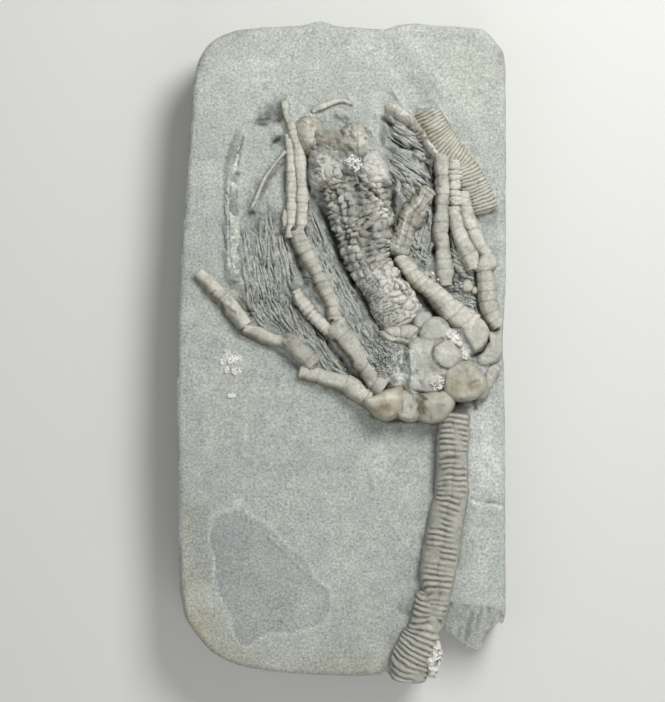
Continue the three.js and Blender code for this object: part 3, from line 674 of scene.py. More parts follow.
BREAK_CORNER = (23.2, -49.8)   # its lowest corner, drawn out a little beyond the CAD's straight facets
BREAK_SIDE = (10.1, 10.9)   # where the broken face gives way to the sound edge, along it
BREAK_LOWEST = 1.2     # height over the back at which the broken face ends
RIM_ROUND, RIM_DEPTH = 1.1, 0.75    # how far in the sanded rim is rubbed round, and what share of that down
GRID_GAP = 0.28        # points of the face keep this far from the rim's
OUT_OF_REACH = 70      # lifts the broken face clear of the sound edge beside it
WALL_STEP = 0.45       # spacing of the points round the slab
WALL_FOOT = 0.6        # height at which the walls begin to turn under
WALL_SHARES = (0.04, 0.1, 0.18, 0.28, 0.4, 0.52, 0.64, 0.76, 0.87)


def build_slab():
    """The slab in one closed mesh: the prepared face, the broken corner, the rough sides and the flat
    back."""
    outline, broken_point, broken_normal = slab_outline()
    rim = smooth_path(outline, WALL_STEP, closed=True)
    rim += 0.10 * np.stack([fractal(rim, 2.5, 3, 71), fractal(rim, 2.5, 3, 72)], 1)
    rim += line_mark(distance_to(rim, [BREAK_CORNER]), 3.0)[:, None] * np.array([0.1, -1.2])
    grids = []
    for spacing, in_crown in ((SLAB_GRID, False), (CROWN_GRID, True)):
        xs = np.arange(slab_low[0], slab_high[0], spacing)
        ys = np.arange(slab_low[1], slab_high[1], spacing)
        spots = np.stack(np.meshgrid(xs, ys), -1).reshape(-1, 2)
        grids.append(spots[is_inside(spots, CROWN) == in_crown])
    grid = np.concatenate(grids)
    inside = is_inside(grid, rim)
    to_rim = distance_to(grid, rim, closed=True)
    keep = inside & (to_rim > GRID_GAP)
    flat = np.concatenate([rim, grid[keep]])
    to_rim = np.concatenate([np.zeros(len(rim)), to_rim[keep]])
    height, paint = prepared_face(flat)
    rub = RIM_ROUND * (1 + 0.5 * noise(flat, 6, 75))
    drop = np.clip(1 - to_rim / rub, 0, 1)
    height -= RIM_DEPTH * rub * (1 - np.sqrt(1 - np.minimum(drop, 0.999) ** 2))
    # the broken corner: a steep face with streaks running down it
    lean = broken_normal[:2] / np.linalg.norm(broken_normal[:2])
    aside = np.array([-lean[1], lean[0]])
    side = np.sign(aside[0])
    away = (flat - broken_point[:2]) @ lean
    beside = (flat - broken_point[:2]) @ aside
    slope = -np.linalg.norm(broken_normal[:2]) / broken_normal[2]
    streaks = np.stack([beside, away * 0.16], 1)
    face_of_break = (broken_point[2] + slope * (away + 0.25 * noise(flat, 1.6, 81))
                     + 0.6 * fractal(streaks, 0.9, 3, 82) + 0.2 * fractal(flat, 1.3, 3, 83)
                     + OUT_OF_REACH * ease(-beside * side, BREAK_SIDE[0], BREAK_SIDE[1]))
    on_break = ease(height - face_of_break, -0.05, 0.25)
    height = np.maximum(np.minimum(height, face_of_break), BREAK_LOWEST + 0.3 * noise(flat, 2, 84))
    for _ in range(3):      # no spikes along the rim
        edge = height[:len(rim)]
        height[:len(rim)] = np.minimum(edge, 0.5 * (np.roll(edge, 2) + np.roll(edge, -2)) + 0.3)
    paint["weathered"] += on_break * (0.1 + 0.2 * noise(streaks, 0.8, 85))
    paint["chalk"] += on_break * (0.75 + ease(noise(streaks, 0.55, 86), -0.2, 0.4) * 0.7)
    streaked = 0.38 * ease(noise(streaks, 0.45, 87), 0.05, 0.45)
    paint["dirt_and_shade"] = paint["dirt_and_shade"] * (1 - on_break) + on_break * streaked
    _, _, triangles, *_ = delaunay_2d_cdt([Vector(p) for p in flat], [], [list(range(len(rim)))], 1, 1e-7)
    top = np.column_stack([flat, height])
    # the walls, and the edge rubbed round beneath
    normal = np.roll(rim, -1, 0) - np.roll(rim, 1, 0)
    normal = np.stack([normal[:, 1], -normal[:, 0]], 1) / np.linalg.norm(normal, axis=1)[:, None]
    rings, amounts = [], []
    edge_top = height[:len(rim)]
    for share in WALL_SHARES:
        z = edge_top * (1 - share) + WALL_FOOT * share
        place = np.column_stack([rim, z])
        rough = 0.16 * fractal(place, 2.6, 4, 91) + 0.12 * math.sin(math.pi * share) - 0.1
        rings.append(np.column_stack([rim + normal * rough[:, None], z]))
        amounts.append(ease(noise(place, 3, 92), 0, 0.8) * 0.3)
    for inset, z in ((0.08, 0.55), (0.2, 0.2), (0.5, 0.0)):
        rings.append(np.column_stack([rim - normal * inset, np.full(len(rim), z)]))
        amounts.append(np.full(len(rim), 0.2))
    points = np.concatenate([top, *rings])
    count = len(rim)
    levels = [np.arange(count)] + [len(top) + k * count + np.arange(count) for k in range(len(rings))]
    walls = [np.stack([a, b, np.roll(b, -1), np.roll(a, -1)], 1) for a, b in zip(levels, levels[1:])]
    paint = {name: np.concatenate([paint[name], *(a if name == "weathered" else 0 * a for a in amounts)])
             for name in PAINTS}
    piece = build_mesh("siltstone_slab", points,
                       [np.array(triangles), np.concatenate(walls), levels[-1][::-1][None]], paint)
    piece.data.set_sharp_from_angle(angle=math.radians(50))
    return piece


# ---- skins of the fossils ------------------------------------------------------------------
# Marks that cross the fossils: path, half width, rise (mm), and paint.
FOSSIL_MARKS = [
    ([(6.0, -9.7), (7.8, -9.5)], 0.9, 0, dict(stain=0.9, dirt_and_shade=0.12)),
    ([(11.3, -9.4)], 0.5, -0.4, dict(dirt_and_shade=0.35, stain=0.3)),
    # pale marks across the top of the left cup plate: painted highlight
    ([(4.6, -8.0), (7.2, -7.7), (9.0, -7.5)], 0.6, 0.12, dict(chalk=0.7)),
    ([(9.9, -10.3), (10.2, -8.2)], 0.16, -0.25, 0.5),
    ([(12.9, -10.4), (12.8, -8.4)], 0.14, -0.2, 0.4),
    ([(4.8, -5.2), (3.4, -6.4)], 0.6, 0, dict(stain=0.4, chalk=0.5)),
    ([(15.4, -8.2), (17.4, -7.9)], 0.8, 0.08, dict(chalk=0.5)),
    ([(12.7, -6.9), (14.2, -8)], 0.25, -0.3, 0.55),
    ([(13.4, -8.2), (13.6, -9.7)], 0.8, 0, dict(stain=0.9, dirt_and_shade=0.5)),
    ([(15.2, -9.9), (16.8, -9.3)], 0.9, 0, dict(weathered=0.5, dirt_and_shade=0.15)),
    ([(20.7, -6.8), (21.5, -5.3), (23, -4.8)], 0.2, -0.15, 0.35),
    ([(19.2, -5.0), (18.6, -6.4)], 1.2, 0, dict(stain=0.6)),
    ([(21.6, -4.4), (22.4, -5.8)], 0.9, 0, dict(stain=0.65)),
    ([(14.9, -5.6), (16.6, -6.1), (17.1, -4.2)], 0.45, -0.4, 0.45),
    ([(13.3, 41.3), (15.6, 41.0)], 0.35, 0.12, dict(chalk=1)),
    ([(12.4, 39.6), (13.7, 37.4), (14.8, 35.2)], 1.2, 0, dict(stain=0.9, dirt_and_shade=0.18)),
    ([(12.9, -4.9), (13.6, -6)], 0.3, -0.2, 0.3),
    # sutures of the cup
    ([(17, 1.9), (15.4, 0.9), (15, -0.4), (15.5, -1.8), (16.6, -2.7), (17.8, -2.9)], 0.2, -0.3, 0.6),
    ([(12.8, 2.8), (14.2, 2.1), (15.6, 2), (17, 2.2)], 0.22, -0.2, 0.3),
    ([(11.6, -6.6), (13, -6.7), (14.6, -7)], 0.25, -0.2, dict(dirt_and_shade=0.3, stain=0.2)),
    ([(12.4, -1.6), (13.8, -2.4), (15.6, -3.4)], 1.1, -0.25, dict(weathered=0.5)),
    ([(12.6, 0.6), (14, 0)], 0.9, 0, dict(chalk=0.35)),
    ([(17.4, -0.2)], 1.3, 0, dict(chalk=0.4)),
    ([(13.4, -3.4), (12.6, -4.6)], 0.8, 0, dict(stain=0.18, chalk=0.2)),
    ([(-1.2, 2), (0, 0.6), (1.2, -0.6), (1.9, -1.6)], 0.3, -0.05, dict(stain=0.9, dirt_and_shade=0.35)),
    ([(-1.6, 1.6), (0, 0), (1, -1.4), (2, -3), (3.3, -4.6), (4.4, -6)], 0.28, -0.15, 0.75),
    ([(5.4, -5), (7.4, -6.6)], 0.8, 0, dict(chalk=0.2, stain=0.25)),
    ([(-3.9, 31.9), (-3.4, 31), (-3.3, 29.8), (-2.9, 29)], 0.16, 0.14, dict(chalk=1)),
    ([(-3.5, 27.7), (-2, 27.3), (-1, 27)], 0.28, -0.1, dict(stain=1, dirt_and_shade=0.2)),
    ([(-2.6, 34), (-1.3, 33), (-0.3, 32.2), (0.6, 31.4), (2.9, 28.9), (5.4, 26.6), (7.2, 24.8)], 0.3, -0.8,
     dict(dirt_and_shade=0.85, stain=0.2)),
    ([(2.6, 27.6), (4.4, 25.8)], 0.3, -0.4, 0.4),
    ([(9.4, 12.4), (10.6, 11.4), (11.4, 9.6)], 0.16, -0.3, 0.6),
    ([(9.0, 11.8), (10.0, 10.8), (10.9, 9.3)], 0.14, -0.3, 0.6),
    ([(6.9, 3.7), (8.6, 2.5), (10.1, 2.4), (11.3, 1.9), (12.6, 3.2)], 0.18, -0.3, 0.6),
    ([(-21.9, 9.9), (-21.2, 10.4)], 0.12, -0.15, 0.5),
    ([(10.6, 18.4), (12, 23.3), (13.3, 24.8), (14.4, 27.2)], 0.13, -0.2, 0.5),
    ([(13.3, 23.3), (15.6, 26.3)], 0.13, -0.2, 0.5),
    ([(9.4, 17.6), (11, 23.2), (12.9, 25), (14.7, 27.6)], 0.22, 0.12, dict(chalk=0.7)),
    ([(12.4, 20.2), (14.6, 23.4), (16.2, 26.4)], 0.35, 0, dict(dirt_and_shade=0.3, stain=0.5)),
    ([(-16.7, 35.8), (-17.5, 33.6)], 0.16, -0.25, 0.5),
    ([(-17.2, 36.2), (-18.2, 33.2)], 0.16, -0.25, 0.5),
    ([(-18.2, 30.3), (-17.0, 30)], 0.2, -0.2, 0.5),
    ([(-18.9, 27.6), (-19.1, 22), (-18.8, 16), (-18.3, 12.6)], 0.14, -0.15, 0.35),
    ([(-19.4, 7.2), (-18.2, 6.5)], 0.4, -0.25, dict(dirt_and_shade=0.35, chalk=0.2)),
    ([(-9.4, 2.4), (-8.8, 3.1)], 0.3, -0.25, 0.4),
]


def marked(xyz, grown, paint):
    """Adds the marks that lie across a piece to its growth and its paint."""
    xy = xyz[..., :2].reshape(-1, 2)
    grown = grown + np.zeros(xyz.shape[:-1])
    paint = {name: np.zeros(xyz.shape[:-1]) + paint.get(name, 0) for name in PAINTS}
    add_marks(FOSSIL_MARKS, xy, grown.reshape(-1), {name: layer.reshape(-1) for name, layer in paint.items()},
              lambda spot: 0.4 * noise(spot, 0.6, 44), lambda spot: 0.3 * noise(spot, 0.4, 45))
    return grown, paint


def jointed(ossicle, joint=0.1, bulge=0.06, slant=0.0, bow=0.0, brown=0.0, pale=0.3, grey=0.2,
            uneven=0.5, rough=0.07, step=0.03, flank_shade=0.5, shade_and_dirt=1.0, seed=0):
    """An arm: a row of ossicles, each swelling a little between two sunk joints."""
    def shape(s, u, width, xyz):
        side = 2 * u - 1
        place = (s + slant * side * width / 2 + bow * side**2 + 0.10 * noise(xyz, 0.9, seed + 5)) / ossicle
        lengths = np.stack([s / ossicle * 0.6, 0 * s + seed * 7.3], -1)
        place = place + uneven * noise(lengths, 1, seed)
        number = np.floor(place)
        within = place - number
        gap = np.minimum(within, 1 - within) * ossicle
        own = lattice(np.stack([number, 0 * number + seed, 0 * number], -1), 77)
        own_joint = lattice(np.stack([np.round(place), 0 * number + seed, 1 + 0 * number], -1), 78)
        in_joint = line_mark(gap, 0.07 + 0.04 * own_joint) * (0.25 + 0.75 * own_joint)
        crest = np.sin(np.pi * u)
        grown = (0.3 * bulge * (1 - (2 * within - 1) ** 2) - joint * in_joint + (own - 0.5) * 2 * step
                 + rough * fractal(xyz, 0.8, 3, seed) + 0.22 * noise(xyz, 2.0, seed + 3))
        fleck = noise(xyz, 0.45, seed + 9)
        # Paint: dark joints and dirt, painted shade low on both flanks, a brown painted shade on the left
        # flank, and a painted highlight along the crest.
        paint = dict(
            dirt_and_shade=shade_and_dirt * (in_joint * 0.45 * (0.7 + 0.4 * fleck)
                           + ease(0.42 - crest, 0, 0.42) * flank_shade * (1 + 0.4 * fleck)
                           + 0.3 * ease(-fractal(xyz, 1.1, 3, seed + 15), 0.25, 0.7)),
            stain=brown * ease(-side, 0.2, 0.85) * (0.75 + 0.4 * noise(xyz, 1.2, seed + 11))
            + 0.25 * ease(noise(xyz, 1.6, seed + 12), 0, 1) + 0.25 * own_joint * line_mark(gap, 0.28),
            chalk=pale * ease(crest, 0.55, 1) * (0.6 + 0.5 * fleck) + 0.25 * ease(own, 0.6, 1) * pale,
            weathered=grey + 0.35 * noise(xyz, 1.3, seed + 13))
        return marked(xyz, grown, paint)
    return shape


def columnals(spacing, ridge, bow, slant=0.0, lit_and_shaded_side_band=0.12, crack=None, worn=(), wear=0.75, wander=0.2,
              brown=0.1, grey=0.65, seed=0):
    """A length of stem: thin discs, each with a rounded rim, under wear and cracks."""
    def shape(s, u, width, xyz):
        side = 2 * u - 1
        shift = 0.0
        if crack is not None:
            from_crack = u - crack - 0.05 * noise(xyz, 1.5, seed + 4)
            shift = 0.13 * spacing * ease(from_crack, -0.03, 0.03)
        place = (s + bow * side**2 + slant * side * width / 2 + shift) / spacing
        place = place + 0.14 * noise(xyz, 1.3, seed + 5) + 0.25 * noise(xyz, 7, seed + 6)
        place = place + wander * noise(np.stack([s / spacing * 0.7, 0 * s + seed * 3.7], -1), 1, seed)
        number = np.floor(place)
        within = place - number
        own = lattice(np.stack([number, 0 * number + seed, 0 * number], -1), 79)
        gap = np.minimum(within, 1 - within) * spacing
        crest = np.sin(np.pi * u)
        fresh = ease(noise(xyz, 2.6, seed + 8), -wear, 0.85 - wear)
        xy = xyz[..., :2].reshape(-1, 2)
        for path, half in worn:
            fresh = fresh * (1 - 0.9 * line_mark(distance_to(xy, path), half)).reshape(fresh.shape)
        fresh = fresh * ease(crest, lit_and_shaded_side_band, lit_and_shaded_side_band + 0.25)
        high = 1 - np.abs(2 * within - 1) ** 1.6
        in_joint = line_mark(gap, 0.15 * spacing)
        grown = (fresh * ridge * (high - 0.5) * (0.7 + 0.6 * own) + 0.07 * fractal(xyz, 0.7, 3, seed)
                 + 0.14 * noise(xyz, 2.4, seed + 3))
        fleck = noise(xyz, 0.45, seed + 9)
        # Paint: dark joints on fresh discs and dirt, painted shade low on both flanks, a brown painted shade
        # down the left side and a painted highlight down the right side.
        paint = dict(
            dirt_and_shade=fresh * in_joint * (0.6 + 0.25 * fleck) + ease(0.45 - crest, 0, 0.45) * 0.5
            + 0.3 * ease(-fractal(xyz, 1.1, 3, seed + 15), 0.2, 0.7),
            stain=brown * (1 + 0.8 * noise(xyz, 1.6, seed + 11))
            + lit_and_shaded_side_band * ease(-side + 0.15 * fleck, 0.6, 0.95),
            chalk=lit_and_shaded_side_band * ease(side + 0.1 * fleck, 0.7, 0.9)
            + fresh * ease(high, 0.6, 1) * (0.4 + 0.25 * fleck) * (0.4 + 0.6 * own),
            weathered=grey + 0.25 * noise(xyz, 1.5, seed + 13))
        if crack is not None:
            along_crack = line_mark(from_crack * width, 0.16)
            grown = grown - 0.08 * along_crack
            paint["dirt_and_shade"] = paint["dirt_and_shade"] + 0.15 * along_crack
        return marked(xyz, grown, paint)
    return shape


def sac_skin(s, u, width, xyz):
    """The anal sac: rows of small convex plates with rough, dark sutures; low on its left they are drawn
    out into cross wrinkles, and its right rim stands up towards the top."""
    across = (u - 0.5) * width * 1.25
    row = np.floor(s / 1.12 + 0.25 * noise(xyz, 2.5, 201))
    spread = np.stack([across + 0.5 * (row % 2) + 0.35 * noise(xyz, 1.8, 202),
                       s + 0.35 * noise(xyz, 2.2, 203)], -1)
    nearest, second, own = packed_cells(spread, (1.35, 1.12), 204, 0.62)
    seam = 1 - ease(second - nearest, 0.0, 0.32)
    small_nearest, small_second, _ = packed_cells(xyz[..., :2], (0.5, 0.34), 206, 0.9)
    chip = 1 - ease(small_second - small_nearest, 0.0, 0.4)
    crest = np.sin(np.pi * u)
    low = ease(14 - s, 0, 5)
    wrinkled = low * ease(0.5 - across + 0.5 * noise(xyz, 1.5, 214), 0, 1.2)
    fold = np.abs((s + 0.35 * noise(xyz, 1.3, 215)) / 0.62 % 1 * 2 - 1)
    fold *= ease(noise(xyz, 0.8, 216), -0.7, 0.1)
    top = ease(s, 12, 18)
    furrow = line_mark(across - 0.6 * noise(xyz, 4, 208) - 0.4, 0.4) + line_mark(across + 2.6, 0.3) * top
    rim = line_mark(across - 2.7, 0.9) * ease(s, 17, 21)
    beads, next_bead, _ = packed_cells(spread, (1.65, 1.4), 217, 0.75)
    beaded = low * ease(across + 0.5 * noise(xyz, 1.6, 218), 0.1, 0.9)
    bead_seam = 1 - ease(next_bead - beads, 0.0, 0.3)
    seam = seam * (1 - beaded) + bead_seam * beaded
    nearest = nearest * (1 - beaded) + beads * beaded
    broken = (0.45 + 0.65 * noise(xyz, 0.9, 209)) * (1 - 0.75 * wrinkled) * (1 - 0.25 * low)
    bulge = (0.5 - 0.1 * low) * (1 - 0.75 * wrinkled)
    grown = (bulge * (1 - ease(nearest, 0.1, 0.66)) - 0.4 * seam * broken - 0.09 * chip
             - 0.24 * wrinkled * fold + (0.3 - 0.15 * low) * (own - 0.5) + 0.16 * fractal(xyz, 1.1, 4, 210)
             - 0.3 * furrow * (1 - 0.6 * low) + 0.55 * rim)
    fleck = noise(xyz, 0.4, 211)
    # Paint: dark sutures, chips and dirt, and painted shade in the furrows, in the troughs of the wrinkles
    # and low on both flanks.
    paint = dict(
        dirt_and_shade=seam * broken * (0.75 + 0.3 * fleck) + 0.15 * chip + 0.4 * furrow * (1 - low)
        + 0.5 * wrinkled * fold**2 + ease(0.5 - crest, 0, 0.5) * 0.5 + 0.05,
        stain=0.12 + 0.2 * noise(xyz, 1.4, 212),
        chalk=ease(own + 0.4 * fleck, 0.4, 1.0) * (0.6 - 0.15 * top)
        + 0.8 * low * (1 - 0.7 * wrinkled) * (1 - seam) + 0.7 * rim,
        weathered=0.6 * ease(s, 3, 10) * (1 - rim) + 0.3 * noise(xyz, 1.8, 213) + 0.35 * wrinkled)
    return marked(xyz, grown, paint)


def plated(rough=0.1, stain=0.1, pale=0.25, grey=0.35, crumple=0.0, seed=0):
    """A plate of the cup or sac: smooth bone-like calcite, or crumpled, darkened round its rim as painted
    shade where it meets the ground.
    """
    def shape(xyz, r):
        fleck = noise(xyz, 0.5, seed + 1)
        grown = rough * fractal(xyz, 1.6, 4, seed) + 0.25 * noise(xyz, 2.6, seed + 2)
        dirt_and_shade = (ease(r, 0.88, 1) * (0.6 + 0.2 * fleck)
                  + 0.35 * ease(-fractal(xyz, 1.0, 3, seed + 9), 0.2, 0.7))
        if crumple:
            wander = np.stack([noise(xyz, 1.4, seed + 11), noise(xyz, 1.4, seed + 12)], -1)
            spread = xyz[..., :2] + 0.5 * wander
            nearest, second, own = packed_cells(spread, (1.3, 0.9), seed + 5, 0.95)
            seam = (1 - ease(second - nearest, 0, 0.3)) * ease(noise(xyz, 1.1, seed + 13), -0.5, 0.4)
            crags = 1 - 2 * np.abs(fractal(xyz, 1.5, 4, seed + 8))
            grown = grown + crumple * (0.9 * (own - 0.5) - seam * 0.6 + 0.9 * crags)
            # Crumpled plates are darker in their seams, and in the low parts of the crumpling as painted
            # shade.
            dirt_and_shade = dirt_and_shade + crumple * (seam * 1.2 + 1.0 * ease(-crags, -0.5, 0.4))
        paint = dict(
            dirt_and_shade=dirt_and_shade + 0.10 * ease(noise(xyz, 0.8, seed + 3), 0.3, 0.9),
            stain=stain * (0.8 + 0.9 * noise(xyz, 2.0, seed + 4)) + 0.3 * stain * ease(r, 0.6, 0.95),
            chalk=pale * (0.6 + 0.5 * noise(xyz, 1.2, seed + 6)) * ease(1 - r, 0.05, 0.5),
            weathered=grey + 0.3 * noise(xyz, 1.7, seed + 7))
        return marked(xyz, grown, paint)
    return shape


TENTH_UP = ((0, 1.1), (1, 1.1))    # a tenth higher than the CAD all along
# Arms and the other long fossils: the skin of each, how far its ends are rounded, and how it is lofted.
LIMBS = {
    "arm_a_base": (jointed(5.5, 0.12, 0.1, brown=0.8, pale=0.4, grey=0.35, rough=0.12, seed=1), 0.35,
                   dict(reach=(1.6, 0.7), least=2.2, lean=0.15,
                        fuller=((0, 0.9, 0), (4, 0.5, 0), (9, 0, 0)))),
    "arm_a_block": (jointed(9.0, 0.05, 0.05, brown=0.35, pale=0.1, grey=0.65, rough=0.10, seed=2), 0.3,
                    dict(reach=(0.6, 0.6), least=2.7, lean=0.15)),
    "arm_a_blade": (jointed(9.0, 0.05, 0.05, brown=1.0, pale=0.25, grey=0.3, rough=0.10, seed=3), 0.3,
                    dict(reach=(1.2, 1.1), least=1.6, lean=0.35)),
    "arm_a_middle": (jointed(3.4, 0.12, 0.05, brown=1.0, pale=0.55, grey=0.15, rough=0.12, flank_shade=0.1, seed=4),
                     0.1, dict(reach=(0.9, 0.7), least=2.1, lean=0.4)),
    "arm_a_tip": (jointed(9.0, 0.05, 0.03, brown=1.0, pale=0.5, grey=0.15, rough=0.08, flank_shade=0.1, seed=5),
                  0.15, dict(reach=(1.2, 0.4), least=1.8, lean=0.42, raised=((0, 0.75), (1.4, 1)),
                       fuller=((0, -0.7, 0), (1.3, 0, 0)))),
    "arm_b_lower": (jointed(3.0, 0.12, 0.07, slant=-0.15, brown=0.75, pale=0.25, grey=0.45, rough=0.1,
                            seed=6), 0.25,
                    dict(reach=(0.5, 1.0), lean=0.12, raised=((0, 1), (11, 1), (12.4, 1.08)),
                         fuller=((0, 2.0, 0), (3.5, 0.3, 0), (9.5, 0.3, 0), (12, 0.9, -0.2)))),
    "arm_b_spur": (jointed(0.95, 0.24, 0.14, bow=0.15, brown=0.5, pale=0.6, grey=0.05, uneven=0.35, seed=7),
                   0.2, dict(reach=(1.8, 0.2), least=1.9, widen=0.35)),
    "arm_b_middle": (jointed(1.25, 0.15, 0.08, slant=0.12, bow=0.12, brown=0.95, pale=0.2, grey=0.35, seed=8),
                     0.2, dict(reach=(1.6, 1.4), widen=0.65, lean=0.1, raised=((0, 0.8), (1.6, 1)),
                          fuller=((0, -0.5, 0), (1.5, 0, 0)))),
    "arm_b_left": (jointed(1.15, 0.08, 0.03, brown=0.3, pale=0.4, grey=0.25, rough=0.07, step=0.02, seed=9),
                   0.2, dict(reach=(1.7, 0.2), widen=0.6)),
    "arm_b_right": (jointed(1.25, 0.08, 0.03, slant=0.15, brown=0.3, pale=0.45, grey=0.2, rough=0.07,
                            step=0.02, seed=10), 0.2, dict(reach=(1.7, 0.5), widen=0.6,
                                                           fuller=((0, 0.3, 0), (14, 0.2, 0),
                                                                   (22, -0.3, 0)))),
    "arm_c_lower": (jointed(1.25, 0.15, 0.08, slant=0.25, brown=0.7, pale=0.6, grey=0.15, uneven=0.6,
                            seed=11), 0.4,
                    dict(reach=(2.6, 0.9), lean=0.12, fuller=((0, 1.2, 0.2), (2.6, 1.2, 0), (6, 0.4, 0),
                                                              (18, 0.2, 0)))),
    "arm_c_upper": (jointed(2.0, 0.22, 0.16, slant=0.25, brown=1.0, pale=0.0, grey=0.8, rough=0.5, flank_shade=0.8,
                            seed=12), 0.9,
                    dict(reach=(1.4, 0.9), least=2.5, widen=1.1, raised=((0, 1.1), (4, 1.25), (9, 1.35)),
                         fuller=((0, 0, 0), (8, 0.3, 0), (11, -0.6, 0.3)))),
    "arm_d_lower": (jointed(1.7, 0.2, 0.12, bow=0.2, brown=0.1, pale=0.2, grey=0.6, rough=0.15, seed=13), 0.2,
                    dict(reach=(0.4, 1.0), least=2.0, widen=0.5, raised=TENTH_UP)),
    "arm_d_upper": (jointed(2.6, 0.12, 0.05, brown=0.05, pale=0.35, grey=0.45, rough=0.14, seed=14), 0.2,
                    dict(reach=(0.9, 0.8), widen=0.4, raised=TENTH_UP, fuller=((0, 0.1, 0), (5, 0.6, -0.2)))),
    "arm_d_tip": (jointed(4.2, 0.05, 0.05, brown=0.0, pale=1.0, grey=0.35, rough=0.28, flank_shade=0.15, shade_and_dirt=0.5,
                          seed=15), 1.4,
                  dict(reach=(1.2, 0.7), back=1.5, square=1.0, lean=0.25, raised=TENTH_UP,
                       fuller=((0, 0.2, 0), (5, 0.6, -0.2), (9, 0.9, -0.35), (12, 1.0, -0.45),
                               (14, 0.5, -0.35)))),
    "arm_e_trunk": (jointed(1.7, 0.18, 0.10, brown=0.05, pale=0.35, grey=0.45, uneven=0.3, rough=0.14,
                            seed=16), 0.2,
                    dict(reach=(1.4, 1.8), least=2.6, raised=TENTH_UP)),
    "arm_e_left": (jointed(2.4, 0.12, 0.07, slant=-0.2, brown=0.1, pale=0.4, grey=0.4, rough=0.12, seed=17),
                   0.2, dict(reach=(0.8, 0.9), least=1.8, raised=TENTH_UP,
                             fuller=((0, 0.7, 0), (4, 0.5, 0), (10, 0.2, 0)))),
    "arm_e_right": (jointed(1.8, 0.16, 0.09, slant=0.25, brown=0.05, pale=0.55, grey=0.25, rough=0.12,
                            seed=18), 0.2,
                    dict(reach=(1.6, 0.7), least=1.9, widen=0.5, raised=((0, 1.15), (1, 1.15)))),
    "arm_f_buried": (jointed(1.3, 0.08, 0.03, brown=0, pale=0.7, grey=0.0, rough=0.35, uneven=0.9, flank_shade=0.05,
                             shade_and_dirt=0.1, seed=19), 1.6, dict(back=0.9, square=1.1, widen=0.9,
                                                           raised=((0, 1.35), (10, 1.15), (20, 0.8)))),
    "ossicle_row": (jointed(1.25, 0.5, 0.25, brown=0, pale=0.7, grey=0.15, uneven=0.7, rough=0.14, seed=20),
                    0.2, dict(reach=(0.4, 0.4), raised=((0, 1.6), (1, 1.6)),
                              fuller=((0, 0.9, 0.2), (9, 0.9, 0.2)))),
    "thin_rod": (jointed(1.3, 0.05, 0.03, brown=0, pale=0.5, grey=0.3, rough=0.06, step=0.02, seed=21), 0.2,
                 dict(reach=(0.2, 0.8), widen=0.05, fuller=((0, -0.1, 0), (4, -0.25, 0), (8, 0.05, 0)))),
    "curved_rod": (jointed(1.6, 0.06, 0.04, brown=0, pale=0.7, grey=0.35, rough=0.08, seed=22), 0.3,
                   dict(reach=(1.0, 0.5), widen=0.3)),
    "cup_rim_right": (jointed(2.2, 0.10, 0.08, brown=0.1, pale=0.3, grey=0.6, rough=0.2, seed=23), 0.8,
                      dict(reach=(1.6, 1.0), least=1.5, widen=0.9, raised=TENTH_UP)),
    "anal_sac": (sac_skin, 1.6, dict(reach=(1.5, 4.6), fuller=((0, 0.4, 0), (16, 0.6, 0), (24, 0.2, 0)),
                                     square=0.9, back=0.7,
                                     raised=((0, 0.78), (7, 0.92), (12, 0.98), (28, 0.98)))),
    "stem_upper": (columnals(0.96, 0.42, -0.7, lit_and_shaded_side_band=0.42, crack=0.5, seed=31, worn=(
        ([(19, -31.8), (19.2, -28)], 0.7), ([(19.8, -34), (19.6, -29.5)], 0.6), ([(16, -40.6)], 0.8),
        ([(19, -13), (20, -16)], 0.6))), 0.4, dict(reach=(1.4, 0.8), square=0.9, back=0.65,
                                                   fuller=((0, 0.1, 0), (28, 0.1, 0), (31, 0.7, 0),
                                                           (34, 0.9, 0)))),
    "stem_lower": (columnals(0.95, 0.42, 0.5, slant=0.25, lit_and_shaded_side_band=0.2, brown=0.05, grey=0.6, wander=0.12,
                             seed=33), 0.7,
                   dict(reach=(0.4, 0.3), square=0.9, back=0.65,
                        fuller=((0, 2.2, -1.2), (4, 2.4, -1.3), (7, 0.2, 0), (11, -0.6, 0.3),
                                (15, -0.6, 0.3)))),
    "stem_loose": (columnals(0.6, 0.26, -0.3, lit_and_shaded_side_band=0.05, wear=2.0, brown=0.15, grey=0.05, wander=0.12,
                             seed=35), 1.1,
                   dict(reach=(0.3, 0.5), square=0.85, back=0.6,
                        fuller=((0, 0.9, -0.35), (4.5, 1.1, -0.45), (7, 1.7, -0.7), (9.1, 2.5, -1.1),
                                (11.7, 1.9, -0.8), (14.8, 1.3, -0.4), (21, 2.0, -1.3)))),
}
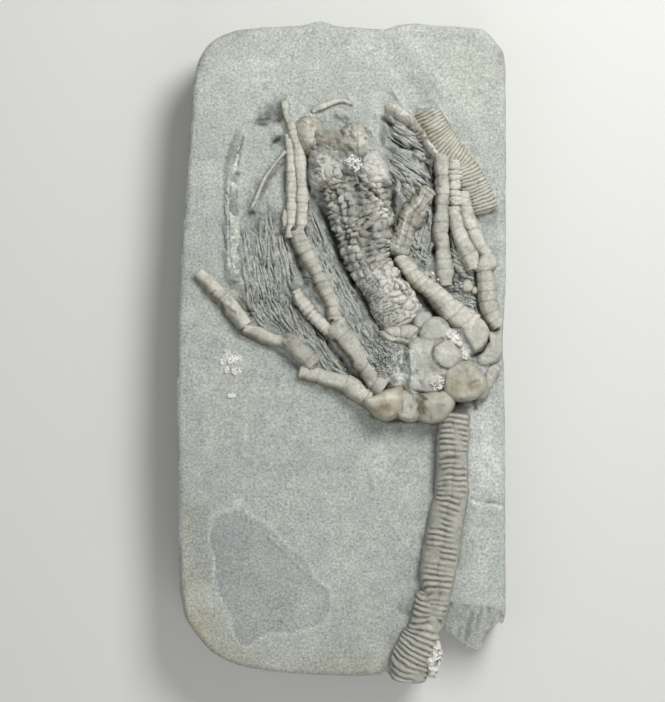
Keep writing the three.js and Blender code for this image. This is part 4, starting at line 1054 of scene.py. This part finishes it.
PLATES = {
    "cup_plate_left": (plated(0.25, 0.32, 0.2, 0.3, seed=301), dict(widen=1.0, raised=1.02, fullness=6)),
    "cup_plate_small": (plated(0.25, 0.25, 0.35, 0.4, seed=302), dict(raised=1.22, widen=1.1)),
    "cup_plate_lower": (plated(0.3, 0.2, 0.0, 0.85, seed=303), dict(widen=1.3, fullness=9, edge=0.4)),
    "cup_plate_middle": (plated(0.45, 0.1, 0.3, 0.35, seed=304), dict(
        widen=0.2, fullness=12, edge=0.35,
        drawn=([(11, 1), (11.6, 2.2), (13, 2.8), (14.6, 2.6), (15.8, 1.8), (16.2, 0.4), (16, -1.2),
                (16.8, -2.4), (17.8, -3), (17.8, -4.6), (17.2, -6), (15.8, -7), (13.4, -7.1), (11.3, -6.4),
                (11.2, -5), (11.8, -3.8), (11.9, -2), (11.3, -0.6)], 4.6))),
    "cup_plate_top": (plated(0.3, 0.1, 0.25, 0.5, seed=305),
                      dict(raised=1.05, widen=1.3, fullness=8, edge=0.4)),
    "cup_plate_round": (plated(0.2, 0.1, 0.3, 0.3, seed=306),
                        dict(widen=0.7, raised=1.02, fullness=7, edge=0.4)),
    "cup_plate_right": (plated(0.35, 0.2, 0.2, 0.65, seed=307), dict(widen=1.3, fullness=7, edge=0.45)),
    "cup_plate_far_right": (plated(0.35, 0.15, 0.3, 0.35, seed=308),
                            dict(raised=1.1, widen=0.6, fullness=8, edge=0.4)),
    "arm_c_base": (plated(0.2, 0.1, 0.4, 0.3, seed=309), dict(
        widen=0.15, fullness=10, edge=0.35,
        drawn=([(20.4, 3.6), (21.2, 1.4), (22.3, -0.2), (23.4, 0.6), (24.6, 2), (25.1, 3.1), (24.4, 4.5),
                (23.4, 5.6), (22, 5.6), (21, 4.8)], 4.1))),
    "arm_e_axillary": (plated(0.15, 0.05, 0.4, 0.4, seed=310), dict(raised=1.05)),
    "sac_base_left": (plated(0.2, 0.15, 0.6, 0.3, seed=311), dict(widen=0.9)),
    "sac_base_right": (plated(0.2, 0.15, 0.6, 0.3, seed=312), dict(widen=0.9)),
    "sac_side_plate": (plated(0.2, 0.05, 0.3, 0.5, seed=313), dict(widen=0.9)),
    "sac_lobe_left": (plated(0.3, 0.1, 0.45, 0.45, 0.4, seed=314), dict(widen=0.9, fullness=3, edge=0.7)),
    "sac_lobe_right": (plated(0.4, 0.0, 1.4, 0.0, 0.2, seed=315),
                       dict(widen=0.9, fullness=3, edge=0.7, raised=1.1)),
    "sac_lump_yellow": (plated(0.35, 0.45, 0.7, 0.1, 0.25, seed=316),
                        dict(widen=1.5, fullness=2.4, edge=1.0, raised=1.0)),
    "sac_lump_left": (plated(0.3, 0.45, 0.3, 0.5, 0.3, seed=317),
                      dict(widen=1.2, fullness=2.6, edge=0.8, raised=1.3)),
    "sac_lump_right": (plated(0.45, 0.2, 0.6, 0.2, 0.35, seed=318),
                       dict(widen=0.8, fullness=3.4, edge=0.7, raised=1.2)),
    "calcite_patch": (plated(0.3, 0.05, 1.0, 0.0, 0.5, seed=319), dict(widen=0.5, raised=1.3)),
}
# Small pieces below the size kept in the CAD: outline, height over the face and skin.
SMALL_PLATES = {
    "calcite_steps": ([(16.4, -48.4), (16.9, -50.2), (16.8, -51.8), (16.3, -53.2), (15.9, -55.0),
                       (14.6, -54.8), (14.0, -52.8), (14.5, -50.8), (15.1, -48.9)], 3.7,
                      plated(0.6, 0.1, 1.0, 0.0, 0.6, seed=331)),
    "arm_b_side_block": ([(-9.95, 21.1), (-9.2, 21.0), (-9.0, 22.4), (-9.1, 24.0), (-9.9, 24.0),
                          (-10.0, 22.6)], 1.5,
                         plated(0.12, 0.1, 0.4, 0.4, seed=332)),
    "arm_d_cross_piece": ([(18.2, 25.2), (19.4, 24.4), (20.6, 25.2), (20.9, 26.6), (19.6, 26.4),
                           (18.6, 27.0)], 2.7,
                          plated(0.35, 0.1, 0.5, 0.3, 0.5, seed=333)),
    "side_ossicle": ([(20.6, 10.2), (21.9, 10.2), (22.2, 11.2), (21.6, 12.3), (20.7, 12.2), (20.3, 11.2)],
                     1.9, plated(0.12, 0.05, 0.4, 0.4, seed=334)),
    "side_bead": ([(22.1, 9.9), (22.9, 9.9), (23.1, 10.5), (22.6, 11.0), (22.0, 10.7)], 1.9,
                  plated(0.1, 0.05, 0.4, 0.4, seed=335)),
}


# ---- node trees ----------------------------------------------------------------------------
def add_node(tree, kind, inputs=None, **settings):
    """Adds one node with its settings, each input given a value or linked to another node's output."""
    node = tree.nodes.new(kind)
    for name, value in settings.items():
        setattr(node, name, value)
    for key, value in (inputs or {}).items():
        if isinstance(value, bpy.types.NodeSocket):
            tree.links.new(value, node.inputs[key])
        else:
            node.inputs[key].default_value = value
    return node


def linear(colour):
    """An sRGB hex colour as linear red, green, blue and alpha."""
    parts = [(colour >> shift & 255) / 255 for shift in (16, 8, 0)]
    return (*(c / 12.92 if c <= 0.04045 else ((c + 0.055) / 1.055) ** 2.4 for c in parts), 1.0)


def per_mm(size):
    """The scale of a pattern whose lumps are about `size` millimetres across."""
    return 1 / (size * MM)


MIX_FACTOR, MIX_A, MIX_B, MIX_RESULT = 0, 6, 7, 2      # sockets of a Mix node set to colours


def mixed(tree, share, low, high):
    """The colour between two others, by a share from 0 to 1."""
    return add_node(tree, "ShaderNodeMix", {MIX_FACTOR: share, MIX_A: low, MIX_B: high},
                    data_type="RGBA").outputs[MIX_RESULT]


def stone(name, low, high, brown, pale, grey, shade_and_dirt, grain_mm, bump_mm, roughness, speckle=0.5, shine=0.3):
    """A stone whose colour drifts between two tones and follows its painted brown, chalk, grey, and its dark
    paint for dirt and painted shade.
    """
    material = bpy.data.materials.new(name)
    material.use_nodes = True
    tree = material.node_tree
    tree.nodes.clear()
    place = add_node(tree, "ShaderNodeTexCoord").outputs["Object"]
    drift = add_node(tree, "ShaderNodeTexNoise", {
        "Vector": place, "Scale": per_mm(2.6), "Detail": 4.0, "Roughness": 0.6})
    grain = add_node(tree, "ShaderNodeTexNoise", {
        "Vector": place, "Scale": per_mm(grain_mm), "Detail": 5.0, "Roughness": 0.8})
    drifted = add_node(tree, "ShaderNodeMapRange", {
        "Value": drift.outputs["Fac"], "From Min": 0.35, "From Max": 0.65})
    colour = mixed(tree, drifted.outputs["Result"], linear(low), linear(high))
    for paint, tone in (("weathered", grey), ("stain", brown), ("chalk", pale), ("dirt_and_shade", shade_and_dirt)):
        amount = add_node(tree, "ShaderNodeAttribute", attribute_name=paint).outputs["Fac"]
        ragged = add_node(tree, "ShaderNodeMath", {
            0: grain.outputs["Fac"], 1: 0.5, 2: 0.75}, operation="MULTIPLY_ADD")
        share = add_node(tree, "ShaderNodeMath", {
            0: amount, 1: ragged.outputs[0]}, operation="MULTIPLY", use_clamp=True)
        colour = mixed(tree, share.outputs[0], colour, linear(tone))
    flecks = add_node(tree, "ShaderNodeMapRange", {
        "Value": grain.outputs["Fac"], "From Min": 0.3, "From Max": 0.7,
        "To Min": 1 - 0.45 * speckle, "To Max": 1 + 0.35 * speckle})
    colour = add_node(tree, "ShaderNodeVectorMath", {
        0: colour, "Scale": flecks.outputs["Result"]}, operation="SCALE")
    bump = add_node(tree, "ShaderNodeBump", {
        "Height": grain.outputs["Fac"], "Strength": 1.0, "Distance": bump_mm * MM})
    shader = add_node(tree, "ShaderNodeBsdfPrincipled", {
        "Base Color": colour.outputs[0], "Normal": bump.outputs[0], "Roughness": roughness,
        "Specular IOR Level": shine, "IOR": 1.55})
    output = add_node(tree, "ShaderNodeOutputMaterial")
    tree.links.new(shader.outputs[0], output.inputs["Surface"])
    return material


# Siltstone matrix, prepared with fine air abrasion: dull, even blue-grey with a faint buff drift and
# a sand-fine speckle, drawn a little coarser than its real 0.1 mm grains so that it shows.
SILTSTONE = stone("siltstone_matrix", 0xACB1AB, 0xBCC0B8, 0xB3A988, 0xD7DAD2, 0x999D9C, 0x47453D,
                  grain_mm=0.42, bump_mm=0.12, roughness=0.95, speckle=1.2, shine=0.15)
# Calcite of the arms and plates: cream and bone-smooth where cleaned, tan in stains and as painted shade on
# the left flanks, grey where worn.
BONE_CALCITE = stone("cream_fossil_calcite", 0xB5B2A2, 0xCDCABD, 0x80755B, 0xDDDBD0, 0xA0A199, 0x3E3B32,
                     grain_mm=0.42, bump_mm=0.08, roughness=0.78, speckle=0.6)
# The plates of the cup and the anal sac: the same calcite, but bluer and greyer, with soft clouds in it.
CUP_CALCITE = stone("grey_cup_calcite", 0xA9A99F, 0xC9C8BE, 0x857A60, 0xDCDBD1, 0x9FA19B, 0x3E3B32,
                    grain_mm=0.42, bump_mm=0.06, roughness=0.72, speckle=0.5)
# The same calcite soaked with iron: honey and brown clouds under a slight polish.
STAINED_CALCITE = stone("iron_stained_calcite", 0xB5B09C, 0xC7C3B1, 0x84765A, 0xDAD6C6, 0xA4A498, 0x37322A,
                        grain_mm=0.5, bump_mm=0.04, roughness=0.6, speckle=0.25, shine=0.45)
# Crystalline spar that filled gaps: near white, sugary, with a glint on its faces.
WHITE_SPAR = stone("white_calcite_spar", 0xD8D5C9, 0xE9E7DF, 0xC2B593, 0xF2F1EC, 0xC6C5BD, 0x6E6A5E,
                   grain_mm=0.3, bump_mm=0.05, roughness=0.42, speckle=0.25, shine=0.5)
# Which pieces are of another stone than the arms' calcite.
MATERIAL_OF = {name: material for material, names in (
    (CUP_CALCITE, ("anal_sac", "sac_lobe_left", "sac_lobe_right", "sac_side_plate", "cup_plate_middle",
                   "cup_plate_round", "cup_plate_top", "cup_plate_far_right", "cup_rim_right")),
    (STAINED_CALCITE, ("cup_plate_left", "cup_plate_lower", "cup_plate_right")),
    (WHITE_SPAR, ("calcite_patch", "calcite_steps", "face_crusts", "spar_grains")),
    (SILTSTONE, ("matrix_slab", "arm_f_buried", "pinnules_left", "pinnules_middle", "pinnules_right",
                 "debris_grains"))) for name in names}


# ---- feathers of the arms (pinnules) and loose grains, by Geometry Nodes -------------------
def grown_tree(name, number, build):
    """A node tree that ends in realised, smooth-shaded geometry of one material; `number` names its other
    input, a whole number."""
    tree = bpy.data.node_groups.new(name, "GeometryNodeTree")
    tree.interface.new_socket("Geometry", in_out="INPUT", socket_type="NodeSocketGeometry")
    tree.interface.new_socket(number, in_out="INPUT", socket_type="NodeSocketInt")
    tree.interface.new_socket("Material", in_out="INPUT", socket_type="NodeSocketMaterial")
    tree.interface.new_socket("Geometry", in_out="OUTPUT", socket_type="NodeSocketGeometry")
    given = add_node(tree, "NodeGroupInput").outputs
    made = build(tree, given)
    real = add_node(tree, "GeometryNodeRealizeInstances", {0: made})
    smooth = add_node(tree, "GeometryNodeSetShadeSmooth", {"Geometry": real.outputs[0]})
    painted = add_node(tree, "GeometryNodeSetMaterial", {
        "Geometry": smooth.outputs[0], "Material": given["Material"]})
    add_node(tree, "NodeGroupOutput", {0: painted.outputs[0]})
    return tree


def girth_of(tree):
    """What each point of the seed mesh holds as its girth."""
    return add_node(tree, "GeometryNodeInputNamedAttribute", {"Name": "girth"},
                    data_type="FLOAT").outputs["Attribute"]


def strand_build(tree, given):
    """A closed tube along every chain of points, as thick as their girth."""
    curves = add_node(tree, "GeometryNodeMeshToCurve", {"Mesh": given["Geometry"]})
    section = add_node(tree, "GeometryNodeCurvePrimitiveCircle", {
        "Resolution": given["Sides"], "Radius": MM / 2})
    return add_node(tree, "GeometryNodeCurveToMesh", {
        "Curve": curves.outputs[0], "Profile Curve": section.outputs["Curve"], "Scale": girth_of(tree),
        "Fill Caps": True}).outputs[0]


def grain_build(tree, given):
    """A small lump at every point, stretched and turned at random."""
    lump = add_node(tree, "GeometryNodeMeshIcoSphere", {"Radius": MM / 2, "Subdivisions": 1})
    stretch = add_node(tree, "FunctionNodeRandomValue", {
        0: (0.65, 0.65, 0.5), 1: (1.3, 1.3, 0.95), "Seed": given["Seed"]}, data_type="FLOAT_VECTOR")
    grown = add_node(tree, "ShaderNodeVectorMath", {
        0: stretch.outputs[0], "Scale": girth_of(tree)}, operation="SCALE")
    turn = add_node(tree, "FunctionNodeRandomValue", {
        0: (0.0, 0.0, 0.0), 1: (6.28, 6.28, 6.28), "Seed": given["Seed"]}, data_type="FLOAT_VECTOR")
    return add_node(tree, "GeometryNodeInstanceOnPoints", {
        "Points": given["Geometry"], "Instance": lump.outputs["Mesh"], "Rotation": turn.outputs[0],
        "Scale": grown.outputs[0]}).outputs[0]


STRAND_TREE = grown_tree("pinnule_strands", "Sides", strand_build)
GRAIN_TREE = grown_tree("calcite_grains", "Seed", grain_build)


def grow(name, tree, points, edges, girth, values, paint):
    """Runs a tree over points and edges and keeps the result as a plain mesh piece."""
    values["Material"] = MATERIAL_OF[name]
    mesh = bpy.data.meshes.new(name + "_seed")
    mesh.from_pydata((np.asarray(points) * MM).tolist(), np.asarray(edges).tolist(), [])
    mesh.attributes.new("girth", "FLOAT", "POINT").data.foreach_set("value", np.asarray(girth, np.float32))
    seed_piece = bpy.data.objects.new(name + "_seed", mesh)
    bpy.context.scene.collection.objects.link(seed_piece)
    modifier = seed_piece.modifiers.new("grow", "NODES")
    modifier.node_group = tree
    for item in tree.interface.items_tree:
        if item.in_out == "INPUT" and item.name in values:
            modifier[item.identifier] = values[item.name]
    bpy.context.view_layer.update()
    result = bpy.data.meshes.new_from_object(seed_piece.evaluated_get(bpy.context.evaluated_depsgraph_get()))
    bpy.data.objects.remove(seed_piece)
    result.name = name
    if "girth" in result.attributes:
        result.attributes.remove(result.attributes["girth"])
    corners = np.array([v.co[:] for v in result.vertices]) / MM
    paint_mesh(result, paint(corners))
    piece = bpy.data.objects.new(name, result)
    bpy.context.scene.collection.objects.link(piece)
    finish_piece(piece, name)


# Fans of strands: tips and roots they run between, how many, girth, bow to the side, wander and lift (mm).
FANS = {
    "pinnules_left": [
        ([(-18.2, 23), (-15.4, 20.5), (-13, 23.5), (-10.9, 20.4)], [(-15.2, 8.0), (-12, 9), (-8.6, 11.4)], 26,
         0.4, 0.3, 0.45, 0.0),
        ([(-10.4, 20.2), (-9.2, 19.2)], [(-8.6, 11.4), (-6.6, 12.4)], 8, 0.45, 0.6, 0.2, 0.1),
        ([(-16.4, 9.2), (-12, 10.2), (-8.4, 11)], [(-13.2, 4.0), (-9.5, 3.6), (-4.6, 1.2)], 26, 0.42, 0.3,
         0.45, 0.05),
        ([(-9.4, 4.2), (-7.6, 6.4), (-5, 4.6)], [(-4.8, -2.6), (-1.6, -3.4), (1.4, -3.6)], 18, 0.42, 0.25,
         0.35, 0.05),
        ([(-3.8, -1.8), (-1.5, -2.6)], [(3.2, -6.0), (4.6, -5.8)], 6, 0.5, 0.1, 0.25, 0.0),
    ],
    "pinnules_middle": [
        ([(-5.7, 19.4), (-5.6, 22.4), (-4.9, 25.2)], [(0.3, 5.6), (2.2, 5.2), (4.4, 6.6)], 24, 0.42, 0.5,
         0.25, 0.05),
        ([(-4.6, 14.4), (-2.6, 11.0)], [(-0.4, 6.2), (1.6, 4.4)], 10, 0.4, 0.2, 0.35, 0.1),
        ([(0.6, 5.0), (2.6, 4.4), (5, 4.8)], [(4.8, -2.4), (7.4, -2.0), (8.8, 0.2)], 16, 0.42, 0.3, 0.5, 0.0),
    ],
    "pinnules_right": [
        ([(7.4, 40.2), (8.3, 38.2), (8.3, 36)], [(11.4, 37.6), (13.4, 34.8), (15.4, 31.6)], 14, 0.62, 0.2,
         0.2, 0.25),
        ([(8.2, 34.6), (7.7, 32.0), (8.4, 28.6)], [(15.6, 29.6), (14, 27.2), (10.6, 25.2)], 17, 0.55, -0.2,
         0.25, 0.15),
        ([(15.2, 33.2), (16.0, 32.6)], [(15.4, 28.6), (16.0, 28.0)], 5, 0.4, 0.2, 0.2, 0.0),
        ([(13.6, 23.6), (15.7, 25.2)], [(12.4, 16.4), (15.5, 16.2)], 11, 0.5, -0.3, 0.3, 0.1),
        ([(12.4, 20.4), (11.2, 17.4)], [(15.4, 17.0), (14.2, 15.0)], 7, 0.5, 0.2, 0.3, 0.1),
        ([(18.3, 18.2), (18.4, 16.0), (18.8, 14.0)], [(20.7, 15.6), (22.2, 13.4), (22.4, 12.0)], 9, 0.6, 0.3,
         0.2, 0.3),
        ([(18.6, 12.8), (18.8, 10.6), (20, 8.6)], [(22.0, 10.4), (22.6, 8.2), (23, 6.2)], 10, 0.5, 0.2, 0.4,
         0.1),
        ([(8.5, 25.6), (8.3, 20.2)], [(9.4, 22.6), (8.6, 16.6)], 7, 0.4, 0.1, 0.2, 0.0),
    ],
}
ON_FOSSILS = 1.5    # heaps higher than this lie on fossils, lower ones on the ground
# Heaps of loose grains: middle, half sizes, number, mean size (mm), and height over the face.
GRAINS = {
    "face_crusts": [(*crust, 0.46, 0.05) for crust in CHALK_CRUSTS],
    "spar_grains": [
        (2.0, 31.6, 1.5, 1.5, 120, 0.42, 3.6), (-3.6, 35.4, 1.2, 0.9, 60, 0.4, 2.2),
        (-5.2, 40, 0.8, 0.4, 30, 0.36, 0.7), (15.3, 13, 0.32, 0.32, 16, 0.6, 2.4),
        (16.1, 12, 0.4, 0.3, 12, 0.45, 2.2), (17.9, 10.7, 0.25, 0.25, 8, 0.4, 1.9),
        (15.9, -5.2, 1.3, 1.2, 150, 0.36, 4.62), (19.0, -2.45, 0.8, 0.3, 36, 0.3, 3.6),
        (20.7, -0.5, 0.6, 0.9, 50, 0.5, 3.2), (18.7, 2.5, 1.0, 1.0, 60, 0.5, 3.6),
        (13.4, -11, 0.4, 0.25, 12, 0.3, 1.0), (19.9, 0.8, 0.6, 0.5, 26, 0.4, 3.2),
    ],
    "debris_grains": [
        (7.8, -0.6, 3.6, 3.2, 420, 0.42, 0.9), (21.4, 7.4, 1.6, 2.4, 130, 0.42, 0.9),
        (-3, 14, 1.2, 1.4, 40, 0.34, 0.9), (-5, 12.6, 1.4, 1.2, 60, 0.34, 0.5),
        (-8.6, 3.6, 1.0, 0.7, 60, 0.34, 0.7), (0.8, -3.6, 1.6, 1.0, 60, 0.4, 0.5),
        (-11, 8, 3.4, 3.2, 110, 0.3, 0.5), (13.8, 15.2, 0.9, 0.8, 50, 0.4, 0.9),
        (22.4, 3.2, 1.4, 1.6, 80, 0.34, 1.8), (3, 9, 1.0, 2.6, 30, 0.36, 0.5),
    ],
}
STRAND_POINTS, STRAND_SIDES = 14, 7


def strands_of(fans, rng):
    """Points, edges and girths of every strand in some fans, laid on the prepared face."""
    points, edges, girths = [], [], []
    for tips, roots, count, girth, bow, wander, lift in fans:
        tip_line, root_line = smooth_path(tips, 0.2), smooth_path(roots, 0.2)
        for k in range(count * 2):
            share = np.clip((k / 2 + 0.5 + rng.uniform(-0.5, 0.5)) / count, 0, 1)
            tip = tip_line[int(share * (len(tip_line) - 1))]
            root = root_line[int(share * (len(root_line) - 1))]
            start = rng.uniform(-0.04, 0.66)
            t = np.linspace(start, min(start + rng.uniform(0.25, 0.7), 1.03), STRAND_POINTS)[:, None]
            run = root - tip
            aside = np.array([run[1], -run[0]]) / np.linalg.norm(run)
            path = tip + run * t + aside * (bow * np.sin(np.pi * t) * rng.uniform(0.3, 1.3))
            path = path + wander * np.stack([noise(path, 1.9, 500 + k % 7), noise(path, 1.9, 520 + k % 5)], 1)
            ground, _ = prepared_face(path)
            full = girth * rng.uniform(0.5, 1.35)
            taper = np.sqrt(np.clip(1 - np.abs(2 * np.linspace(0, 1, STRAND_POINTS) - 1) ** 4, 0.12, 1))
            height = ground + 0.5 * lift + full * (rng.uniform(-0.35, 0.2) + 0.35 * noise(path, 1.5, 540))
            first = sum(map(len, points))
            points.append(np.column_stack([path, height]))
            girths.append(full * taper * (1 + 0.25 * noise(path, 0.8, 560 + k % 3)))
            edges += [(first + j, first + j + 1) for j in range(STRAND_POINTS - 1)]
    return np.concatenate(points), edges, np.concatenate(girths)


def grains_of(rows, rng):
    """Middles and girths of every grain in some heaps."""
    points, girths = [], []
    for x, y, half_x, half_y, count, size, over in rows:
        away, turn = np.sqrt(rng.uniform(0, 1, count)), rng.uniform(0, 2 * np.pi, count)
        spot = np.column_stack([x + half_x * away * np.cos(turn), y + half_y * away * np.sin(turn)])
        keep = noise(spot, 0.8, 570) > -0.35
        spot, away = spot[keep], away[keep]
        ground = (FACE + over) * np.ones(len(spot)) if over > ON_FOSSILS else prepared_face(spot)[0] + 0.1
        points.append(np.column_stack([spot, ground + 0.25 * size * (1 - away)]))
        girths.append(size * rng.uniform(0.4, 1.35, len(spot)))
    return np.concatenate(points), np.concatenate(girths)


# ---- making the pieces ---------------------------------------------------------------------
finish_piece(build_slab(), "matrix_slab", "matrix_slab")
for node, (skin_of, end_round, settings) in LIMBS.items():
    piece = limb(node, skin_of, end_round=end_round, **settings)
    piece.name = "fossil_" + node
    finish_piece(piece, node, node)
for node, (skin_of, settings) in PLATES.items():
    piece = plate(node, skin_of, **settings)
    piece.name = "fossil_" + node
    finish_piece(piece, node, node)
for name, (outline, height, skin_of) in SMALL_PLATES.items():
    finish_piece(plate(name, skin_of, widen=0.1, fullness=5, drawn=(outline, height)), name)


def strand_paint(corners):
    """Feathers of the arms: worn grey, with chalk and a little dirt."""
    fleck = noise(corners, 0.7, 601)
    return dict(dirt_and_shade=0.06 + 0.2 * noise(corners, 1.6, 602), stain=0.12 + 0.15 * fleck,
                chalk=0.35 * ease(fleck, 0, 0.8), weathered=0.35 + 0.4 * noise(corners, 1.2, 603))


def grain_paint(corners):
    """Loose grains of the ground and of broken plates."""
    return dict(dirt_and_shade=0.2 * ease(noise(corners, 0.6, 611), 0, 1),
                stain=0.1 + 0.15 * noise(corners, 1.0, 612), chalk=0.3 * noise(corners, 0.5, 613),
                weathered=0.45 + 0.4 * noise(corners, 1.1, 614))


def crust_paint(corners):
    """White crusts: nearly clean."""
    return dict(chalk=0.3, dirt_and_shade=0.05 + 0.08 * noise(corners, 0.5, 621))


rng = np.random.default_rng(7)
for name, fans in FANS.items():
    points, edges, girths = strands_of(fans, rng)
    grow(name, STRAND_TREE, points, edges, girths, {"Sides": STRAND_SIDES}, strand_paint)
for name, rows in GRAINS.items():
    points, girths = grains_of(rows, rng)
    grow(name, GRAIN_TREE, points, [], girths, {"Seed": 3},
         grain_paint if name == "debris_grains" else crust_paint)

# ---- the floor, lights and camera ----------------------------------------------------------
FLOOR_HALF, FLOOR_GAP = 1.5, 0.0002  # metres: half its width, and how far below the slab it stays
floor_mesh = bpy.data.meshes.new("floor")
floor_mesh.from_pydata([(-FLOOR_HALF, -FLOOR_HALF, 0), (FLOOR_HALF, -FLOOR_HALF, 0),
                        (FLOOR_HALF, FLOOR_HALF, 0), (-FLOOR_HALF, FLOOR_HALF, 0)], [], [(0, 1, 2, 3)])
floor = bpy.data.objects.new("floor", floor_mesh)
floor.location.z = -FLOOR_GAP
bpy.context.scene.collection.objects.link(floor)
floor_paper = bpy.data.materials.new("pale_paper_floor")
floor_paper.use_nodes = True
paper_shader = floor_paper.node_tree.nodes["Principled BSDF"].inputs
paper_shader["Base Color"].default_value = linear(0xD9D8D4)
paper_shader["Roughness"].default_value = 0.9
floor.data.materials.append(floor_paper)


def soft_light(name, place, size, watts, aim=(0, 0, FACE)):
    """A round soft lamp; its place, size and aim are in millimetres."""
    lamp = bpy.data.lights.new(name, "AREA")
    lamp.shape, lamp.size, lamp.energy = "DISK", size * MM, watts
    lamp_object = bpy.data.objects.new(name, lamp)
    lamp_object.location = Vector(place) * MM
    lamp_object.rotation_euler = (Vector(aim) - Vector(place)).to_track_quat("-Z", "Y").to_euler()
    bpy.context.scene.collection.objects.link(lamp_object)


soft_light("key_light", (110, 160, 225), 120, 0.7, aim=(0, 10, FACE))
soft_light("fill_light", (-260, -60, 420), 420, 0.25)
soft_light("low_light", (90, -230, 150), 220, 0.2, aim=(10, -30, FACE))
world = bpy.data.worlds.new("studio_air")
world.use_nodes = True
air = world.node_tree.nodes["Background"].inputs
air["Color"].default_value = (0.95, 0.98, 1.0, 1)
air["Strength"].default_value = 0.29
bpy.context.scene.world = world
bpy.context.scene.view_settings.view_transform = "Standard"

FRAME_HEIGHT = 118.983              # millimetres of the face that the frame takes in, top to bottom
CAMERA_AWAY = 365.0                 # height of the eye over the face
CAMERA_X, CAMERA_Y = -1.53, 0.15    # where it stands over it
camera_data = bpy.data.cameras.new("camera")
camera_data.sensor_width = 36
camera_data.lens = camera_data.sensor_width * CAMERA_AWAY / FRAME_HEIGHT
camera_data.clip_start, camera_data.clip_end = 0.01, 10
camera = bpy.data.objects.new("camera", camera_data)
camera.location = (CAMERA_X * MM, CAMERA_Y * MM, (FACE + CAMERA_AWAY) * MM)
bpy.context.scene.collection.objects.link(camera)
bpy.context.scene.camera = camera
